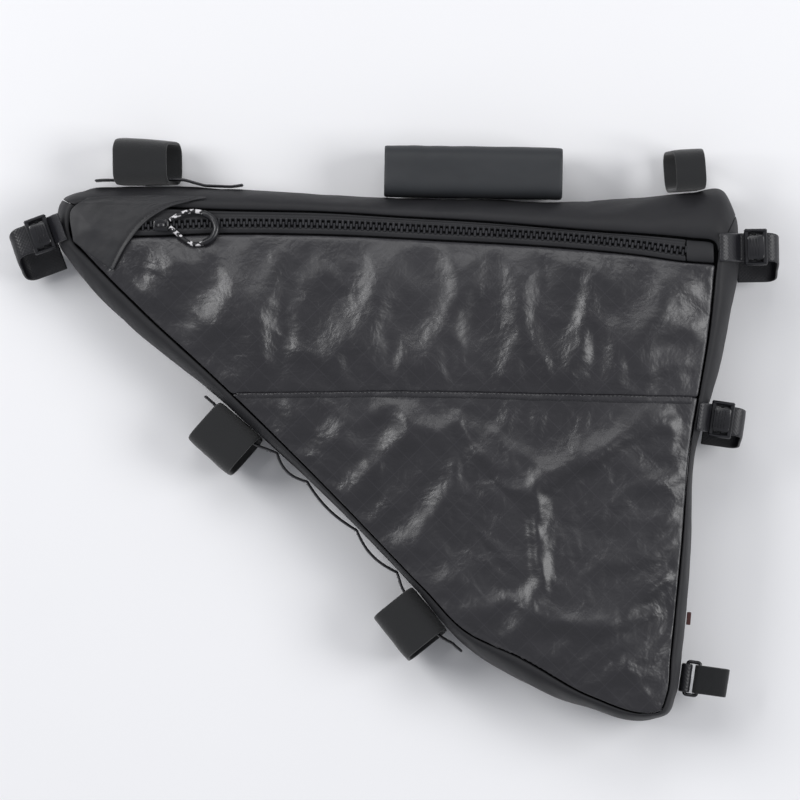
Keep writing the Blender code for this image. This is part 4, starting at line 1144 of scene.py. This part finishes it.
tag = solid_block("folded_tag", (0.0030, 0.0090, CLOTH), (0, 0, 0), 0.0004)
set_down(tag, (*(root + out * (GAP * 2 + 0.0015)), WIDEST * depth(root[0])), angle)
finish_piece(tag, "gusset_fabric", ["side_tag"])

cover_x = np.linspace(ZIP_END + GAP, seam_run(ROWS["seat_1"], ROWS["seat_2"], 20)[:, 0].min() - GAP, 16)
strip_between("zip_garage", cover_x, zip_y(cover_x) - LIP_DROP + GAP, top_seam_y(cover_x),
              [-0.0010, 0.0004, 0.0010, 0.0012, 0.0012, 0.0010, 0.0004, -0.0008], "gusset_fabric",
              ["zip_end_cover"], 0.0012)
print("buckles 3")

# %% [markdown]
# Finishes. Effects that more than one material uses are node groups: a weave that follows each piece's own rows
# and columns, a fine grain, cloudy wear, and the two slanted families of reinforcing threads inside the laminate.
# Each group gives only a height or a mask, and each material decides what it does with them.

# %% Node groups
def make_group(name, inputs, outputs):
    """An empty shader node group with named inputs and outputs."""
    tree = bpy.data.node_groups.new(name, "ShaderNodeTree")
    for label, kind, value in inputs:
        socket = tree.interface.new_socket(name=label, in_out="INPUT", socket_type=kind)
        socket.default_value = value
    for label, kind in outputs:
        tree.interface.new_socket(name=label, in_out="OUTPUT", socket_type=kind)
    return tree, tree.nodes.new("NodeGroupInput").outputs, tree.nodes.new("NodeGroupOutput").inputs


def node(tree, kind, inputs=None, **settings):
    """A node with its settings, and each input given a value or linked to a socket."""
    made = tree.nodes.new(kind)
    for key, value in settings.items():
        setattr(made, key, value)
    for key, value in (inputs or {}).items():
        if isinstance(value, bpy.types.NodeSocket):
            tree.links.new(value, made.inputs[key])
        else:
            made.inputs[key].default_value = value
    return made


def maths(tree, operation, *values):
    return node(tree, "ShaderNodeMath", dict(enumerate(values)), operation=operation).outputs[0]


NUMBER = "NodeSocketFloat"
PLACE = ("Place", "NodeSocketVector", (0, 0, 0))

weave, given, results = make_group("weave", [PLACE, ("Thread", NUMBER, 0.0006)], [("Height", NUMBER)])
split = node(weave, "ShaderNodeSeparateXYZ", {0: given["Place"]}).outputs
run = maths(weave, "MULTIPLY", maths(weave, "DIVIDE", split["X"], given["Thread"]), pi)
climb = maths(weave, "MULTIPLY", maths(weave, "DIVIDE", split["Y"], given["Thread"]), pi)
crossing = maths(weave, "MULTIPLY", maths(weave, "SINE", run), maths(weave, "SINE", climb))
fine = maths(weave, "ABSOLUTE", maths(weave, "SINE", maths(weave, "ADD", run, climb)))
weave_height = maths(weave, "MULTIPLY_ADD", crossing, 0.35, maths(weave, "MULTIPLY_ADD", fine, 0.15, 0.4))
weave.links.new(weave_height, results["Height"])

grain, given, results = make_group("grain", [PLACE, ("Size", NUMBER, 0.0005)], [("Height", NUMBER)])
scale = maths(grain, "DIVIDE", 1.0, given["Size"])
speck = node(grain, "ShaderNodeTexNoise", {"Vector": given["Place"], "Scale": scale, "Detail": 3.0, "Roughness": 0.6})
grain.links.new(speck.outputs[0], results["Height"])

wear, given, results = make_group("cloudy_wear", [PLACE, ("Size", NUMBER, 0.06)],
                                  [("Mask", NUMBER), ("Fine", NUMBER)])
scale = maths(wear, "DIVIDE", 1.0, given["Size"])
cloud = node(wear, "ShaderNodeTexNoise", {"Vector": given["Place"], "Scale": scale, "Detail": 5.0, "Roughness": 0.62})
mask = node(wear, "ShaderNodeMapRange", {"Value": cloud.outputs[0], "From Min": 0.35, "From Max": 0.68}, clamp=True)
wear.links.new(mask.outputs[0], results["Mask"])
finer_scale = maths(wear, "MULTIPLY", scale, 14.0)
dots = node(wear, "ShaderNodeTexNoise", {"Vector": given["Place"], "Scale": finer_scale, "Detail": 2.0})
mask = node(wear, "ShaderNodeMapRange", {"Value": dots.outputs[0], "From Min": 0.58, "From Max": 0.72}, clamp=True)
wear.links.new(mask.outputs[0], results["Fine"])

plies, given, results = make_group("slanted_plies", [PLACE, ("Pitch", NUMBER, 0.016), ("Line", NUMBER, 0.03)],
                                   [("Mask", NUMBER)])
split = node(plies, "ShaderNodeSeparateXYZ", {0: given["Place"]}).outputs
lines = []
for sign in ("ADD", "SUBTRACT"):
    slant = maths(plies, "DIVIDE", maths(plies, sign, split["X"], split["Y"]), given["Pitch"])
    off = maths(plies, "ABSOLUTE", maths(plies, "SUBTRACT", maths(plies, "FRACT", slant), 0.5))
    lines.append(maths(plies, "LESS_THAN", off, given["Line"]))
plies.links.new(maths(plies, "MAXIMUM", *lines), results["Mask"])

creases, given, results = make_group("creases", [PLACE, ("Size", NUMBER, 0.02)], [("Height", NUMBER)])
bend = node(creases, "ShaderNodeTexNoise", {"Vector": given["Place"], "Scale": 22.0, "Detail": 2.0}).outputs[1]
shift = node(creases, "ShaderNodeVectorMath", {0: bend, "Scale": 0.030}, operation="SCALE").outputs[0]
bent_place = node(creases, "ShaderNodeVectorMath", {0: given["Place"], 1: shift}, operation="ADD").outputs[0]
scale = maths(creases, "DIVIDE", 1.0, given["Size"])
cells = node(creases, "ShaderNodeTexVoronoi", {"Vector": bent_place, "Scale": scale})
scale = maths(creases, "DIVIDE", 1.6, given["Size"])
broad = node(creases, "ShaderNodeTexNoise", {"Vector": bent_place, "Scale": scale, "Detail": 3.0})
bumps = maths(creases, "MULTIPLY_ADD", cells.outputs["Distance"], 0.45, broad.outputs[0])
creases.links.new(bumps, results["Height"])
print("groups", [tree.name for tree in bpy.data.node_groups])

# %% [markdown]
# Each material reads either its place on the object or its piece's own cloth coordinates. The coated laminate is
# almost black with a cool cast, and what makes it look like laminate is a clear film over soft creases: wide
# highlights with broken edges. The band is matte, the hook-and-loop is nearly lightless, the webbing has ribs.

# %% Materials
def linear(red, green, blue):
    """Linear colour of a screen colour from 0 to 255."""
    c = np.array([red, green, blue]) / 255
    return (*np.where(c <= 0.04045, c / 12.92, ((c + 0.055) / 1.055) ** 2.4).tolist(), 1.0)


def finish(name, colour, roughness, second, coat=0.0, coat_rough=0.2, specular=0.5, wear_size=0.05,
           rough_span=0.1):
    """A Principled material whose colour and roughness vary with cloudy wear; the bump chain is added after."""
    made = bpy.data.materials.new(name)
    made.use_nodes = True
    tree = made.node_tree
    tree.nodes.clear()
    place = node(tree, "ShaderNodeTexCoord").outputs
    shader = node(tree, "ShaderNodeBsdfPrincipled",
                  {"Coat Weight": coat, "Coat Roughness": coat_rough, "Specular IOR Level": specular})
    tree.links.new(shader.outputs[0], node(tree, "ShaderNodeOutputMaterial").inputs[0])
    clouds = node(tree, "ShaderNodeGroup", node_tree=wear)
    tree.links.new(place["Object"], clouds.inputs["Place"])
    clouds.inputs["Size"].default_value = wear_size
    ends = {0: clouds.outputs["Mask"], 6: linear(*colour), 7: linear(*second)}
    mix = node(tree, "ShaderNodeMix", ends, data_type="RGBA")
    tree.links.new(mix.outputs[2], shader.inputs["Base Color"])
    span = {"To Min": roughness - rough_span / 2, "To Max": roughness + rough_span / 2}
    rough_mix = node(tree, "ShaderNodeMapRange", {"Value": clouds.outputs["Mask"], **span})
    tree.links.new(rough_mix.outputs[0], shader.inputs["Roughness"])
    return made, tree, place, shader, mix


def relief(tree, shader, layers):
    """A chain of bumps, one for each height, its distance in metres and its strength."""
    normal = None
    for height, distance, strength in layers:
        bump = node(tree, "ShaderNodeBump", {"Height": height, "Distance": distance, "Strength": strength})
        if normal is not None:
            tree.links.new(normal, bump.inputs["Normal"])
        normal = bump.outputs[0]
    tree.links.new(normal, shader.inputs["Normal"])


def using(tree, group, place, output, **values):
    made = node(tree, "ShaderNodeGroup", node_tree=group)
    tree.links.new(place, made.inputs["Place"])
    for key, value in values.items():
        made.inputs[key].default_value = value
    return made.outputs[output]


def relieved(name, colour, second, roughness, layers, **look):
    """A finish with its relief: each layer has its group, what it reads, its size, a distance and a strength."""
    made, tree, place, shader, mix = finish(name, colour, roughness, second, **look)
    heights = []
    for group, size, distance, strength in layers:
        reads = place["UV" if group is weave else "Object"]
        key = "Thread" if group is weave else "Size"
        heights.append((using(tree, group, reads, "Height", **{key: size}), distance, strength))
    relief(tree, shader, heights)
    return made, tree, place, shader, mix


coated, tree, place, shader, mix = relieved(
    "coated_laminate", (30, 29, 33), (36, 35, 39), 0.38,
    [(creases, 0.022, 0.0032, 0.55), (grain, 0.004, 0.0004, 0.35), (weave, 0.00045, 0.00004, 0.25)],
    coat=0.35, coat_rough=0.28, wear_size=0.09, rough_span=0.12)
ply = using(tree, plies, place["Object"], "Mask", Pitch=0.021, Line=0.012)
share = maths(tree, "MULTIPLY", ply, 0.25)
lifted = node(tree, "ShaderNodeMix", {0: share, 6: mix.outputs[2], 7: linear(70, 69, 74)}, data_type="RGBA")
tree.links.new(lifted.outputs[2], shader.inputs["Base Color"])

gusset_fabric = relieved("matte_gusset", (26, 26, 29), (31, 31, 34), 0.62,
                         [(creases, 0.030, 0.0016, 0.4), (weave, 0.0006, 0.00008, 0.5)], specular=0.4)[0]
patch_fabric = relieved("smooth_patch", (33, 33, 35), (38, 38, 41), 0.5,
                        [(creases, 0.028, 0.0014, 0.35), (grain, 0.0007, 0.00006, 0.4)],
                        specular=0.45, wear_size=0.06)[0]
flap_fabric = relieved("smooth_flap", (40, 42, 45), (45, 47, 50), 0.55, [(grain, 0.0005, 0.00008, 0.5)],
                       specular=0.4)[0]
fuzzy, tree, place, shader, mix = relieved(
    "hook_and_loop_tape", (19, 20, 22), (25, 26, 28), 0.85,
    [(grain, 0.0011, 0.0006, 0.6), (weave, 0.0012, 0.0001, 0.4)], specular=0.25, wear_size=0.02)
shader.inputs["Sheen Weight"].default_value = 0.25
shader.inputs["Sheen Roughness"].default_value = 0.6
webbing = relieved("ribbed_webbing", (21, 21, 25), (28, 28, 33), 0.42, [(weave, 0.0013, 0.00025, 0.7)],
                   specular=0.55, wear_size=0.03)[0]
tape = relieved("zip_tape", (25, 25, 28), (33, 33, 36), 0.6, [(weave, 0.0007, 0.00014, 0.6)],
                specular=0.4, wear_size=0.03)[0]
tooth = relieved("moulded_teeth", (30, 30, 33), (44, 44, 47), 0.28, [(grain, 0.0006, 0.00004, 0.3)],
                 coat=0.2, wear_size=0.01)[0]
plastic = relieved("buckle_plastic", (17, 17, 21), (24, 24, 28), 0.3, [(grain, 0.0005, 0.00003, 0.35)],
                   coat=0.15, wear_size=0.02)[0]
tag_cloth = relieved("red_brown_tag", (70, 38, 38), (84, 44, 42), 0.7, [(grain, 0.0006, 0.0001, 0.4)],
                     wear_size=0.01)[0]

cord_cloth, tree, place, shader, mix = finish("flecked_cord", (22, 22, 25), 0.6, (30, 30, 33), wear_size=0.01)
fleck = node(tree, "ShaderNodeTexVoronoi", {"Vector": place["Object"], "Scale": 520.0, "Randomness": 1.0})
chance = node(tree, "ShaderNodeSeparateColor", {0: fleck.outputs["Color"]}).outputs[0]
picked = maths(tree, "GREATER_THAN", chance, 0.62)
spotted = node(tree, "ShaderNodeMix", {0: picked, 6: mix.outputs[2], 7: linear(205, 203, 205)}, data_type="RGBA")
tree.links.new(spotted.outputs[2], shader.inputs["Base Color"])
relief(tree, shader, [(fleck.outputs["Distance"], 0.0003, 0.5)])

FINISHES = {
    "coated_fabric": coated, "gusset_fabric": gusset_fabric, "patch_fabric": patch_fabric, "smooth_flap": flap_fabric,
    "hook_and_loop": fuzzy, "webbing": webbing, "zip_tape": tape, "zip_teeth": tooth, "buckle_plastic": plastic,
    "pull_cord": cord_cloth,
}
for made, slot_name in slots.items():
    made.data.materials.clear()
    made.data.materials.append(FINISHES[slot_name])
tag.data.materials[0] = tag_cloth
print("finishes", len(FINISHES))

# %% [markdown]
# The stage is a plain pale floor and soft studio light: one large box of light on each side, low enough to rake
# across the folds, a weaker one overhead, and a dim even sky. The floor takes most of the light and turns white.

# %% Floor and light
FLOOR_SPAN = np.linspace(-4, 4, 3)
corners = np.stack([*np.meshgrid(FLOOR_SPAN, FLOOR_SPAN, indexing="ij"), np.full((3, 3), -0.0003)], axis=-1)
floor = grid_mesh("floor", upwards(corners))
paper, tree, place, shader, mix = finish("pale_floor", (236, 236, 238), 0.75, (238, 238, 240), wear_size=0.8)
floor.data.materials.append(paper)


def softbox(name, place, aim, size, power, colour=(1.0, 1.0, 1.0)):
    """A rectangular light that looks at a point."""
    lamp = bpy.data.lights.new(name, "AREA")
    lamp.shape = "RECTANGLE"
    lamp.size, lamp.size_y = size
    lamp.energy = power
    lamp.color = colour
    made = bpy.data.objects.new(name, lamp)
    bpy.context.scene.collection.objects.link(made)
    made.location = place
    made.rotation_euler = (Vector(aim) - Vector(place)).to_track_quat("-Z", "Y").to_euler()
    return made


softbox("left_box", (-2.1, 0.9, 1.9), (-0.05, 0.0, 0.03), (1.5, 1.3), 42)
softbox("right_box", (2.1, 0.2, 1.8), (0.05, 0.0, 0.03), (1.4, 1.2), 34)
softbox("top_box", (-0.1, 1.9, 2.2), (0.0, 0.0, 0.03), (1.8, 1.0), 14)
world = bpy.data.worlds.new("sky")
bpy.context.scene.world = world
world.use_nodes = True
world.node_tree.nodes["Background"].inputs[0].default_value = (0.93, 0.95, 1.0, 1.0)
world.node_tree.nodes["Background"].inputs[1].default_value = 0.42
bpy.context.scene.view_settings.view_transform = "Standard"
print("lights 3")

# %% The end
bpy.context.view_layer.update()
